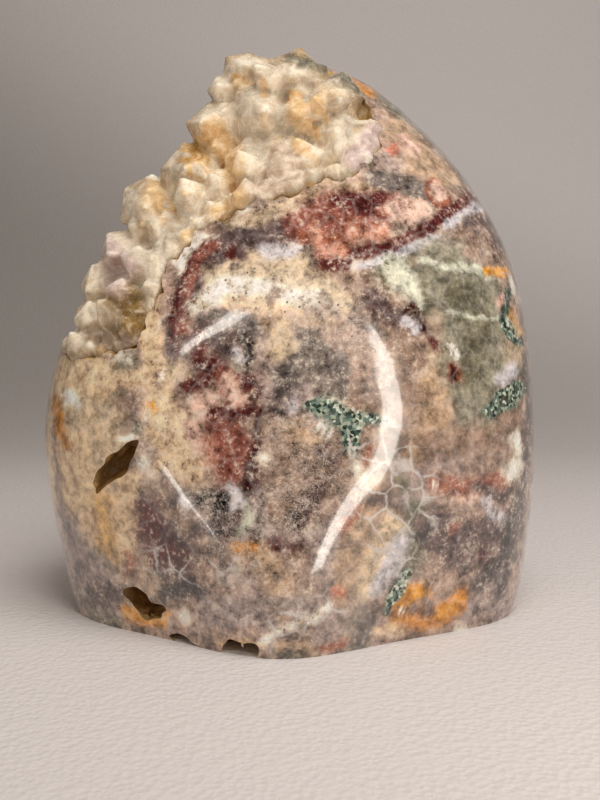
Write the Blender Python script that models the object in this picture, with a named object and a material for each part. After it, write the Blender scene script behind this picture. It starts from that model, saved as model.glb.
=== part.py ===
"""Pink amethyst freeform: a polished stone with a crystal-lined hollow in its upper left shoulder.

The stone is about 87 mm wide, 58 mm deep and 97 mm tall, and stands on a sawn flat base at Z = 0.
Its polished face looks along -Y. Two pieces are made: the polished stone, with the hollow and four
small vugs cut into it, and the crust of quartz crystals that lines the hollow.
"""

import math

import bmesh
import bpy
import numpy as np
from mathutils import Matrix, Vector

MM = 0.001

# The stone's skin, in millimetres. The skyline is its outline seen from the front: radii about the
# heart, one every 20 degrees from +X towards +Z. The part below Z = 0 is sawn off for the base.
HEART_Z = 48.0
SKYLINE = (
    40.4, 39.6, 40.0, 42.3, 46.8, 48.6, 38.8, 36.0, 36.8,
    41.6, 48.2, 56.0, 69.0, 80.0, 80.0, 68.0, 53.2, 44.2,
)
FACE_SWELL = 2.4  # how flat the face stays before it turns to the sides: 2 is an ellipse
EDGE_ROUND = 2.1  # how full the edge between face and back is
FRONT_DEPTH = 28.5
BACK_DEPTH = 27.0
FRONT_TAPER = 11.0  # how much thinner the front half is at the top
BACK_TAPER = 11.0
LEAN_BACK = 0.11  # millimetres of lean for each millimetre of height
FOOT_TAPER = 6.0  # how much thinner the front half is at the foot, but for its prow
FOOT_HEIGHT = 24.0
PROW_DEPTH = 10.0  # the prow stands out in the middle of the foot
PROW_X = -3.5
PROW_HALF_WIDTH = 17.0
TOP_Z = 97.0
WASTE = 300.0  # side of the cube that takes away what lies below the saw cut
SKIN_DETAIL = 5  # subdivisions of the icosphere that becomes the skin

# The hollow. Its brink is the edge where the polish stops, seen from the front as (x, z), from the
# left side, over the front lobe's shoulder and up to the crown. Its bed is a plane that falls away
# to the left, y = BED_Y + BED_X * x + BED_Z * z, and its walls draw in towards the bed.
BRINK = (
    (-58.0, 40.0), (-46.0, 43.0), (-36.5, 44.6), (-29.0, 46.2), (-24.6, 50.6), (-22.6, 56.0),
    (-20.2, 60.8), (-16.0, 64.8), (-10.0, 68.2), (-3.2, 70.4), (4.4, 72.4), (11.0, 74.4), (15.8, 78.4),
    (16.4, 84.6), (12.4, 92.4), (8.0, 106.0),
)
BRINK_STEPS = 3  # points on each stretch of the brink
BED_Y = -22.0
BED_X = -0.32
BED_Z = 0.25
FAR_CORNERS = ((-70.0, 120.0), (-75.0, 60.0))  # close its outline out in the air
AIR_Y = -60.0  # the cutters reach this far in front of the stone
FLARE_CENTRE = (-60.0, 95.0)
FLARE_AIR = 1.13  # the outline grows about that centre by this factor in front
FLARE_BED = 0.94  # and shrinks by this one at the bed
SEAM = 0.3  # the gap between the stone and its crust
TRIM = 0.06  # crystals may pass the crust's outer faces by this much before they are cut
CRUST = 3.2  # thickness of the crust's massive quartz under the crystals
ROOT = 1.6  # how deep under the crust's inner face a crystal starts
RECESS = 0.955  # the massive quartz ends this share of the way from the heart to the skin

# The large crystals of the crust that the eye picks out: x, z, radius, length, lean to the right and
# lean upwards. Lengths are from the bed to the tip, and leans are in degrees from the bed's normal.
LEAD_CRYSTALS = (
    (-6.0, 84.0, 5.2, 11.0, 10, -9),
    (-13.3, 83.0, 4.4, 11.0, 8, -10),
    (-7.4, 76.5, 3.9, 10.5, 10, -13),
    (-2.2, 77.9, 3.9, 9.5, 8, -13),
    (-9.0, 92.6, 3.4, 8.5, 14, -4),
    (-1.0, 91.0, 4.4, 8.5, 12, -6),
    (5.8, 87.6, 4.2, 7.0, 14, -8),
    (5.4, 81.6, 4.8, 7.5, 14, -13),
    (10.2, 79.6, 4.0, 6.0, 14, -12),
    (-17.8, 74.6, 5.0, 12.0, 10, -13),
    (-12.8, 71.8, 3.8, 11.0, 10, -12),
    (-25.0, 70.0, 4.4, 11.5, 8, -12),
    (-19.6, 66.6, 4.8, 12.5, 10, -13),
    (-29.0, 61.8, 4.4, 11.5, 8, -15),
    (-27.6, 55.0, 4.6, 12.0, 8, -17),
    (-33.0, 56.0, 4.0, 10.5, 6, -15),
)
FILL_X = (-48.0, 22.0)  # where smaller crystals are tried, if the hollow reaches there
FILL_Z = (40.0, 104.0)
FILL_PITCH = 5.2  # their spacing
FILL_ROW = 0.9  # the rows' spacing as a share of it
FILL_LOOSE = 0.2  # and how far a place may be off its grid, as a share of it
FILL_CLEAR = 0.5  # a smaller crystal keeps this share of its radius off its neighbours
NEIGHBOUR_CLEAR = 0.62  # and this share of theirs
WALL_CLEAR = 0.5  # and this far off the walls, in millimetres
EDGE_CLEAR = 0.6  # and this share of its radius inside the skyline
FILL_RADIUS = (2.2, 3.4)
FILL_LENGTH = (6.5, 10.5)
FILL_RIGHT = 9.0  # their mean lean to the right
FILL_UP = -9.0  # and upwards
FILL_LEAN = 14.0  # how far a lean may be from the mean
WALL_PITCH = 4.6  # spacing of the crystals on the walls of the hollow
WALL_START = 5.0  # the first row's distance from the bed
WALL_END_Y = -24.0
WALL_LOOSE = 0.8
WALL_LEAN = -0.35  # how far they turn from the wall to the viewer
WALL_EDGE = 3.0  # how far they stay inside the skyline
WALL_COVER = 2.4  # and behind the skin
WALL_RADIUS = (2.0, 3.0)
WALL_LENGTH = (5.0, 7.5)
POINT_SHARE = 1.05  # a point's height as a share of its crystal's radius
ROOT_SHARE = 0.94  # a crystal is this much narrower at its root
TIP_SHARE = 0.22  # and its tip stands off its axis by up to this share of its radius
SEED = 8

# The vugs: centre, radii and turn about the Y axis in degrees.
FOOT_VUG = ((-24.2, -19.0, 5.2), (5.2, 6.5, 2.9), 20)
SIDE_VUG = ((-29.0, -20.0, 28.4), (6.6, 6.5, 2.0), -46)
FOOT_NOTCH = ((-8.8, -27.0, 0.4), (3.4, 7.0, 3.2), 0)
FOOT_GAP = ((-16.6, -22.5, 0.0), (4.6, 6.0, 1.7), 8)

QUARTZ = (0.56, 0.45, 0.42, 1.0)
DRUSE = (0.80, 0.70, 0.56, 1.0)


def skyline(angle):
    """The outline's radius at an angle: a closed Catmull-Rom curve through the SKYLINE radii."""
    radii = np.array(SKYLINE)
    count = len(radii)
    place = (angle % (2 * math.pi)) / (2 * math.pi) * count
    start = np.floor(place).astype(int)
    share = place - start
    before, here, after, beyond = (radii[(start + k) % count] for k in (-1, 0, 1, 2))
    slope = after - before
    bend = 2 * before - 5 * here + 4 * after - beyond
    twist = 3 * here - before - 3 * after + beyond
    return 0.5 * (2 * here + share * (slope + share * (bend + share * twist)))


def stone_points(unit):
    """Where the points of a unit sphere go on the stone's skin, in millimetres.

    Seen from the front, a point keeps its direction from the heart and goes out to a share of the
    skyline. Its depth follows a superellipse, deeper in front of Y = 0 than behind, thinner towards
    the top and the foot and leaning back, with a prow in the middle of the foot.
    """
    angle = np.arctan2(unit[:, 2], unit[:, 0])
    reach = np.hypot(unit[:, 0], unit[:, 2]) ** (2 / FACE_SWELL) * skyline(angle)
    x = reach * np.cos(angle)
    z = HEART_Z + reach * np.sin(angle)
    depth = np.abs(unit[:, 1]) ** (2 / EDGE_ROUND)
    rise = np.clip(z / TOP_Z, 0, 1) ** 2
    prow = PROW_DEPTH * np.exp(-(((x - PROW_X) / PROW_HALF_WIDTH) ** 2))
    foot = (prow - FOOT_TAPER) * np.exp(-((np.clip(z, 0, None) / FOOT_HEIGHT) ** 2))
    front = FRONT_DEPTH - FRONT_TAPER * rise + foot
    back = BACK_DEPTH - BACK_TAPER * rise
    y = np.where(unit[:, 1] < 0, -front, back) * depth + LEAN_BACK * (z - HEART_Z)
    return np.stack([x, y, z], axis=1)


def bed_y(x, z):
    """How deep the hollow's bed lies."""
    return BED_Y + BED_X * x + BED_Z * z


def flared(spot, factor):
    """A spot seen from the front, moved away from the flare's centre by a factor."""
    centre = Vector(FLARE_CENTRE)
    return centre + (spot - centre) * factor


def brink_line(inset):
    """The hollow's brink as a smooth line of (x, z), moved into the hollow by inset."""
    points = [Vector(p) for p in BRINK]
    line = []
    for i in range(1, len(points) - 2):
        before, here, after, beyond = points[i - 1 : i + 3]
        for k in range(BRINK_STEPS):
            t = k / BRINK_STEPS
            line.append(
                0.5
                * (
                    2 * here
                    + (after - before) * t
                    + (2 * before - 5 * here + 4 * after - beyond) * t**2
                    + (3 * here - before - 3 * after + beyond) * t**3
                )
            )
    line.append(points[-2])
    line = [points[0], *line, points[-1]]
    moved = []
    for i, point in enumerate(line):
        along = line[min(i + 1, len(line) - 1)] - line[max(i - 1, 0)]
        inwards = Vector((-along.y, along.x)).normalized()
        moved.append(point + inwards * inset)
    return moved


def collection(name, shown=True):
    made = bpy.data.collections.new(name)
    bpy.context.scene.collection.children.link(made)
    made.hide_render = not shown
    return made


def put(obj, group, shown=True):
    """Links an object to its collection, as a part or as a helper that only cuts or joins."""
    group.objects.link(obj)
    if not shown:
        obj.hide_render = True
        obj.display_type = "WIRE"
    return obj


def material(name, colour, roughness):
    made = bpy.data.materials.new(name)
    made.use_nodes = True
    shader = made.node_tree.nodes["Principled BSDF"]
    shader.inputs["Base Color"].default_value = colour
    shader.inputs["Roughness"].default_value = roughness
    return made


def object_of(name, mesh_tools, group, shown=True):
    mesh = bpy.data.meshes.new(name)
    mesh_tools.to_mesh(mesh)
    mesh_tools.free()
    return put(bpy.data.objects.new(name, mesh), group, shown)


def boolean(obj, operation, operand):
    """A Boolean modifier whose operand is an object or a whole collection."""
    made = obj.modifiers.new(f"{operation.lower()} {operand.name}", "BOOLEAN")
    made.operation = operation
    if isinstance(operand, bpy.types.Collection):
        made.operand_type = "COLLECTION"
        made.collection = operand
    else:
        made.object = operand


def stone_skin(name, group, shown=True, scale=1.0):
    """The whole uncut stone: an icosphere whose points are moved onto the skin, scaled about its heart."""
    tools = bmesh.new()
    bmesh.ops.create_icosphere(tools, subdivisions=SKIN_DETAIL, radius=1.0)
    unit = np.array([v.co for v in tools.verts])
    unit = unit / np.linalg.norm(unit, axis=1, keepdims=True)
    heart = Vector((0, 0, HEART_Z))
    for vert, point in zip(tools.verts, stone_points(unit)):
        vert.co = (heart + (Vector(point) - heart) * scale) * MM
    return object_of(name, tools, group, shown)


def hollow_solid(name, inset, group, shown=False):
    """The hollow as a cutter: the brink's outline run from the air in front back to the bed.

    inset moves its walls and its bed into the hollow, which gives the crust's outer and inner faces.
    """
    line = brink_line(inset)
    outline = [*line, *map(Vector, FAR_CORNERS)]
    tools = bmesh.new()
    air = [flared(p, FLARE_AIR) for p in outline]
    face = tools.faces.new([tools.verts.new((p.x * MM, AIR_Y * MM, p.y * MM)) for p in air])
    face.normal_update()
    pushed = bmesh.ops.extrude_face_region(tools, geom=tools.faces[:])
    for vert in (v for v in pushed["geom"] if isinstance(v, bmesh.types.BMVert)):
        spot = flared(Vector((vert.co.x, vert.co.z)) / MM, FLARE_BED / FLARE_AIR)
        vert.co = Vector((spot.x, bed_y(spot.x, spot.y) - inset, spot.y)) * MM
    bmesh.ops.triangulate(tools, faces=[f for f in tools.faces if len(f.verts) == 4])
    bmesh.ops.recalc_face_normals(tools, faces=tools.faces[:])
    return object_of(name, tools, group, shown)


def vug(name, shape, group, detail):
    """A small cavity: a low icosphere, stretched and turned."""
    centre, radii, turn = shape
    tools = bmesh.new()
    bmesh.ops.create_icosphere(tools, subdivisions=detail, radius=1.0)
    place = (
        Matrix.Translation(Vector(centre) * MM)
        @ Matrix.Rotation(math.radians(turn), 4, "Y")
        @ Matrix.Diagonal((*(Vector(radii) * MM), 1))
    )
    bmesh.ops.transform(tools, matrix=place, verts=tools.verts)
    return object_of(name, tools, group, shown=False)


def ground(name, group):
    """The waste below the saw cut."""
    tools = bmesh.new()
    size = WASTE * MM
    bmesh.ops.create_cube(tools, size=size, matrix=Matrix.Translation((0, 0, -size / 2)))
    return object_of(name, tools, group, shown=False)


def crystal(name, root, normal, radius, length, spin, group):
    """A quartz crystal: a six-sided prism on its root, with a six-sided point.

    The point's faces are unequal, because its tip stands off the prism's axis.
    """
    tools = bmesh.new()
    point = radius * POINT_SHARE
    prism = length - point
    bmesh.ops.create_cone(
        tools, cap_ends=True, segments=6, radius1=radius * ROOT_SHARE, radius2=radius, depth=prism
    )
    bmesh.ops.translate(tools, vec=(0, 0, prism / 2), verts=tools.verts)
    shoulder = max(tools.faces, key=lambda face: face.calc_center_median().z)
    tip = bmesh.ops.poke(tools, faces=[shoulder])["verts"][0]
    tip_off = radius * TIP_SHARE
    tip.co = Vector((tip_off * math.cos(3 * spin), tip_off * math.sin(2 * spin), length))
    turn = normal.to_track_quat("Z", "Y").to_matrix().to_4x4() @ Matrix.Rotation(spin, 4, "Z")
    bmesh.ops.transform(tools, matrix=Matrix.Translation(root) @ turn, verts=tools.verts)
    bmesh.ops.scale(tools, vec=(MM, MM, MM), verts=tools.verts)
    return object_of(name, tools, group, shown=False)


def leant(normal, right, up):
    """The bed's normal, leant to the right and upwards by angles in degrees."""
    turn = Matrix.Rotation(math.radians(right), 3, "Z") @ Matrix.Rotation(math.radians(-up), 3, "X")
    return turn @ normal


def inside_hollow(x, z, margin):
    """Whether a place on the bed, seen from the front, lies margin inside the hollow's walls."""
    line = [flared(p, FLARE_BED) for p in brink_line(margin)]
    corners = [*line, *map(Vector, FAR_CORNERS)]
    crossings = 0
    for a, b in zip(corners, [*corners[1:], corners[0]]):
        if (a.y > z) != (b.y > z) and x < a.x + (z - a.y) * (b.x - a.x) / (b.y - a.y):
            crossings += 1
    return crossings % 2 == 1


def inside_skyline(x, z, margin):
    reach = math.hypot(x, z - HEART_Z)
    angle = np.array([math.atan2(z - HEART_Z, x)])
    return reach < skyline(angle)[0] - margin


def bed_crystals(group):
    """Crystals on the hollow's bed: the large ones, then smaller ones on a loose grid between."""
    chance = np.random.default_rng(SEED)
    normal = Vector((BED_X, -1.0, BED_Z)).normalized()
    placed = []

    def grow(x, z, radius, length, right, up, spin):
        root = Vector((x, bed_y(x, z) - SEAM - CRUST + ROOT, z))
        crystal(f"bed crystal {len(placed)}", root, leant(normal, right, up), radius, length, spin, group)
        placed.append((x, z, radius))

    for i, (x, z, radius, length, right, up) in enumerate(LEAD_CRYSTALS):
        grow(x, z, radius, length, right, up, spin=0.9 * i)
    for row in range(*(int(end / FILL_PITCH) for end in FILL_Z)):
        for column in range(*(int(end / FILL_PITCH) for end in FILL_X)):
            place = np.array([column + 0.5 * (row % 2), row * FILL_ROW])
            x, z = (place + chance.uniform(-FILL_LOOSE, FILL_LOOSE, 2)) * FILL_PITCH
            radius, length = chance.uniform(*FILL_RADIUS), chance.uniform(*FILL_LENGTH)
            right, up = chance.uniform(-FILL_LEAN, FILL_LEAN, 2) + (FILL_RIGHT, FILL_UP)
            spin = chance.uniform(0, 2 * math.pi)
            crowded = any(
                math.hypot(x - a, z - b) < NEIGHBOUR_CLEAR * r + FILL_CLEAR * radius for a, b, r in placed
            )
            clear = inside_hollow(x, z, radius + WALL_CLEAR) and inside_skyline(x, z, radius * EDGE_CLEAR)
            if clear and not crowded:
                grow(x, z, radius, length, right, up, spin)


def wall_crystals(group):
    """Crystals on the hollow's walls, which point across it, in rows from the bed to the polish."""
    chance = np.random.default_rng(SEED + 1)
    line = brink_line(SEAM + CRUST - ROOT)
    run = 0.0
    count = 0
    for a, b in zip(line, line[1:]):
        run += (b - a).length
        if run < WALL_PITCH:
            continue
        run = 0.0
        across = Vector((-(b - a).y, 0, (b - a).x)).normalized()
        for y in np.arange(bed_y(b.x, b.y) - WALL_START, WALL_END_Y, -WALL_PITCH):
            radius, length = chance.uniform(*WALL_RADIUS), chance.uniform(*WALL_LENGTH)
            spin = chance.uniform(0, 2 * math.pi)
            depth = y + chance.uniform(-WALL_LOOSE, WALL_LOOSE)
            share = (depth - AIR_Y) / (bed_y(b.x, b.y) - AIR_Y)
            spot = flared(b, FLARE_AIR + (FLARE_BED - FLARE_AIR) * share)
            aim = (across + Vector((0, WALL_LEAN, 0))).normalized()
            if inside_skyline(spot.x, spot.y, WALL_EDGE) and skin_front(spot.x, spot.y) + WALL_COVER < depth:
                root = Vector((spot.x, depth, spot.y))
                crystal(f"wall crystal {count}", root, aim, radius, length, spin, group)
                count += 1


def skin_front(x, z):
    """The front skin's depth at a place seen from the front."""
    reach = math.hypot(x, z - HEART_Z)
    angle = math.atan2(z - HEART_Z, x)
    share = min(0.999, reach / skyline(np.array([angle]))[0]) ** (FACE_SWELL / 2)
    unit = np.array([[share * math.cos(angle), -math.sqrt(1 - share**2), share * math.sin(angle)]])
    return stone_points(unit)[0][1]


def polished_stone(parts, cutters, hollow, base):
    """The stone: its skin, sawn flat, with the hollow and the vugs cut out."""
    stone = stone_skin("polished_stone", parts)
    boolean(stone, "DIFFERENCE", base)
    boolean(stone, "DIFFERENCE", hollow)
    for name, shape, detail in (
        ("foot vug", FOOT_VUG, 1),
        ("side vug", SIDE_VUG, 2),
        ("foot notch", FOOT_NOTCH, 2),
        ("foot gap", FOOT_GAP, 2),
    ):
        boolean(stone, "DIFFERENCE", vug(name, shape, cutters, detail))
    stone.data.materials.append(material("polished quartz", QUARTZ, 0.12))
    return stone


def crystal_crust(parts, cutters):
    """The crust: massive quartz along the bed and walls of the hollow, and the crystals on it.

    It starts as the hollow less a gap, is kept to what lies inside the stone's skin, loses its own
    inside, gains the crystals, and is cut once more where a crystal leans into the stone.
    """
    crust = hollow_solid("crystal_crust", SEAM + TRIM, parts, shown=True)
    boolean(crust, "INTERSECT", stone_skin("uncut stone", cutters, shown=False, scale=RECESS))
    boolean(crust, "DIFFERENCE", hollow_solid("open hollow", SEAM + CRUST, cutters))
    crystals = collection("crystals", shown=False)
    bed_crystals(crystals)
    wall_crystals(crystals)
    boolean(crust, "UNION", crystals)
    boolean(crust, "INTERSECT", hollow_solid("crust reach", SEAM, cutters))
    crust.data.materials.append(material("quartz crystals", DRUSE, 0.3))
    return crust


def main():
    for obj in list(bpy.data.objects):
        bpy.data.objects.remove(obj)
    parts = collection("amethyst freeform")
    cutters = collection("cutters", shown=False)
    polished_stone(parts, cutters, hollow_solid("hollow", 0.0, cutters), ground("saw waste", cutters))
    crystal_crust(parts, cutters)


main()
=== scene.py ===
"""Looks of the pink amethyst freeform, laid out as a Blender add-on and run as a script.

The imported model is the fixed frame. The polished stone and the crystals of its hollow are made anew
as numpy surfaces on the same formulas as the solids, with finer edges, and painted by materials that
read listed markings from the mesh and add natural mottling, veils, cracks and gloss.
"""

import math

import bmesh
import bpy
import numpy as np
from bpy.props import FloatProperty, FloatVectorProperty, IntProperty, PointerProperty
from mathutils import Matrix, Vector


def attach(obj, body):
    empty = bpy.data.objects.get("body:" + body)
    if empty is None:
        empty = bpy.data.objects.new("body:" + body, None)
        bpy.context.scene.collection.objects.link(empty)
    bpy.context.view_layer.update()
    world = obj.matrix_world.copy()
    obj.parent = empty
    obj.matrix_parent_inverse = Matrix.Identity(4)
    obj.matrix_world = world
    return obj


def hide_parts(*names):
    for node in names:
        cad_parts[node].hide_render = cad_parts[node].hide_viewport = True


bl_info = {
    "name": "Pink Amethyst Freeform",
    "version": (1, 0, 0),
    "blender": (4, 5, 0),
    "location": "View3D > Sidebar > Freeform",
    "description": "Dresses a polished amethyst freeform with a crystal-lined hollow",
    "category": "Object",
}

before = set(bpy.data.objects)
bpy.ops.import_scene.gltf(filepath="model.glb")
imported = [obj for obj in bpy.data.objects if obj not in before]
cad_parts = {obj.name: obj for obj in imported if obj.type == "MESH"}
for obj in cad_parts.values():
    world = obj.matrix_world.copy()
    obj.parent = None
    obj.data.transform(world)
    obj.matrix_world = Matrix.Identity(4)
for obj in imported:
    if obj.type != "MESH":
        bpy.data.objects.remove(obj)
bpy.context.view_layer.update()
MM = 0.001

# The stone's skin in millimetres, on the same numbers as the solid.
HEART_Z = 48.0
SKYLINE = (
    40.4, 39.6, 40.0, 42.3, 46.8, 48.6, 38.8, 36.0, 36.8,
    41.6, 48.2, 56.0, 69.0, 80.0, 80.0, 68.0, 53.2, 44.2,
)
FACE_SWELL = 2.4
EDGE_ROUND = 2.1
FRONT_DEPTH = 28.5
BACK_DEPTH = 27.0
FRONT_TAPER = 11.0
BACK_TAPER = 11.0
LEAN_BACK = 0.11
FOOT_TAPER = 6.0
FOOT_HEIGHT = 24.0
PROW_DEPTH = 10.0
PROW_X = -3.5
PROW_HALF_WIDTH = 17.0
TOP_Z = 97.0

# The hollow, its crust and its crystals, on the same numbers as the solids.
BRINK = (
    (-58.0, 40.0), (-46.0, 43.0), (-36.5, 44.6), (-29.0, 46.2), (-24.6, 50.6), (-22.6, 56.0),
    (-20.2, 60.8), (-16.0, 64.8), (-10.0, 68.2), (-3.2, 70.4), (4.4, 72.4), (11.0, 74.4), (15.8, 78.4),
    (16.4, 84.6), (12.4, 92.4), (8.0, 106.0),
)
SOLID_BRINK_STEPS = 3
HOLLOW_CORNERS = ((-70.0, 120.0), (-75.0, 60.0))
BED_Y = -22.0
BED_X = -0.32
BED_Z = 0.25
AIR_Y = -60.0
FLARE_CENTRE = (-60.0, 95.0)
FLARE_AIR = 1.13
FLARE_BED = 0.94
SEAM = 0.3
CRUST = 3.2
ROOT = 1.6
LEAD_CRYSTALS = (
    (-6.0, 84.0, 5.2, 11.0, 10, -9),
    (-13.3, 83.0, 4.4, 11.0, 8, -10),
    (-7.4, 76.5, 3.9, 10.5, 10, -13),
    (-2.2, 77.9, 3.9, 9.5, 8, -13),
    (-9.0, 92.6, 3.4, 8.5, 14, -4),
    (-1.0, 91.0, 4.4, 8.5, 12, -6),
    (5.8, 87.6, 4.2, 7.0, 14, -8),
    (5.4, 81.6, 4.8, 7.5, 14, -13),
    (10.2, 79.6, 4.0, 6.0, 14, -12),
    (-17.8, 74.6, 5.0, 12.0, 10, -13),
    (-12.8, 71.8, 3.8, 11.0, 10, -12),
    (-25.0, 70.0, 4.4, 11.5, 8, -12),
    (-19.6, 66.6, 4.8, 12.5, 10, -13),
    (-29.0, 61.8, 4.4, 11.5, 8, -15),
    (-27.6, 55.0, 4.6, 12.0, 8, -17),
    (-33.0, 56.0, 4.0, 10.5, 6, -15),
)
FILL_PITCH = 5.2
FILL_Z = (40, 104)
FILL_X = (-48, 22)
FILL_RADIUS = (2.2, 3.4)
FILL_LENGTH = (6.5, 10.5)
FILL_RIGHT = 9.0
FILL_UP = -9.0
FILL_LEAN = 14.0
WALL_PITCH = 4.6
WALL_RADIUS = (2.0, 3.0)
WALL_LENGTH = (5.0, 7.5)
POINT_SHARE = 1.05
SEED = 8

# The vugs and the gaps at the foot, each as its middle, its radii and its turn about Y in degrees.
VUGS = {
    "foot vug": ((-24.2, -19.0, 5.2), (5.2, 6.5, 2.9), 20),
    "side vug": ((-29.0, -20.0, 28.4), (6.6, 6.5, 2.0), -46),
    "foot notch": ((-8.8, -27.0, 0.4), (3.4, 7.0, 3.2), 0),
    "foot gap": ((-16.6, -22.5, 0.0), (4.6, 6.0, 1.7), 8),
}

# The scene's druse: how much wider its crystals are than the solids', the thickness of the massive
# quartz under them and of its lumps, and the cell of the mesh that fuses them, in millimetres.
SWELL = 1.28
QUILT = 5.2
QUILT_LUMP = 0.9
VOXEL = 0.38

# Pattern sizes in the materials, in millimetres. Hairs, leaves and pits are drawn as coarse as they
# need to be to show, some 0.3 to 0.5 mm: the real ones are finer.
GRAIN = 0.9
VEIL = 2.6
FROST = 0.8
LEAF = 0.5
CRACK_CELL = 4.2
CRACK_BEND = 3.0
PIT_CELL = 1.1
STAIN = 3.5
CLOUD = 3.0
ETCHING = 0.7
SHEET_GRAIN = 1.0
QUARTZ_IOR = 1.544
LEAF_STOPS = ((0.0, "#222D28"), (0.3, "#3F5549"), (0.46, "#6D8374"), (0.6, "#A4AC96"), (0.76, "#D2D5C6"))
STAIN_STOPS = ((0.3, "#8A6C44"), (0.47, "#C59C5C"), (0.6, "#D6BE98"), (0.75, "#E8DCC8"))

# The stage in millimetres: the sheet, the ring lamp's ellipse and band, and the lamp overhead.
SHEET_FRONT = -600
SHEET_TOP = 1200
SHEET_HALF_WIDTH = 1500
SWEEP_Y = 150
SWEEP = 260
RING_MIDDLE = (-32.0, -135.0, 40.0)
RING_WIDE = 106.0
RING_HIGH = 88.0
RING_BAND = 6.3
RING_SWELL = 2.6
LAMP_PLACE = (110, -120, 430)
LAMP_TARGET = (10, 110, 50)

# The photograph's frame, in px: a marking's place there is the middle of a stroke, from the left and
# from the top, and its third number is the stroke's half-width. The strokes were placed one by one.
FRAME_PX = (600.0, 800.0)
SENSOR = 36.0
RAGGED = 2.2  # the size in millimetres of the noise that makes a mark's edge ragged
PALETTE = {
    "rose": "#A68E7F", "lilac": "#9E8D86", "cream": "#CDB293", "honey": "#C3A06E", "straw": "#C2AE94",
    "olive": "#77715F", "sage": "#8E8877", "pale sage": "#C4C2B0", "smoke": "#7E736C", "dark smoke": "#594F4C",
    "mauve": "#6D5A56", "maroon": "#63302D", "deep maroon": "#47201F", "brick": "#8C594C", "salmon": "#B98B77",
    "blush": "#C9AA9A", "peach": "#D3B89B", "chalk": "#E2D6C6", "frost": "#C3BDBE", "white": "#EEE6DA",
    "brown": "#957F70", "dark brown": "#66534F", "tan": "#B0977F", "ochre": "#D09434", "amber": "#BC8232",
    "coral": "#C27E68", "rust": "#97604A", "green": "#5F7F70", "dark green": "#29443C", "soot": "#2B2325",
    "milk": "#E2D2BA", "honey milk": "#E3BE8A", "grey milk": "#D2BCA4", "lilac milk": "#DCC5BA", "painted root shade": "#A28560",
    "deep honey": "#90713F", "amber milk": "#C79A58",
}

# The clouds of the ground: a colour, the clouds' size in millimetres, and where it starts and is full.
GROUND_CLOUDS = (
    ("straw", 20, 0.1, 0.4), ("olive", 18, 0.14, 0.4), ("brown", 12, 0.1, 0.4), ("brick", 11, 0.34, 0.5),
    ("maroon", 8, 0.44, 0.56), ("chalk", 9, 0.4, 0.62), ("ochre", 10, 0.6, 0.68), ("green", 9, 0.64, 0.7),
)
BACK_ONLY = ("ochre", "green", "brick", "maroon")

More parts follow.
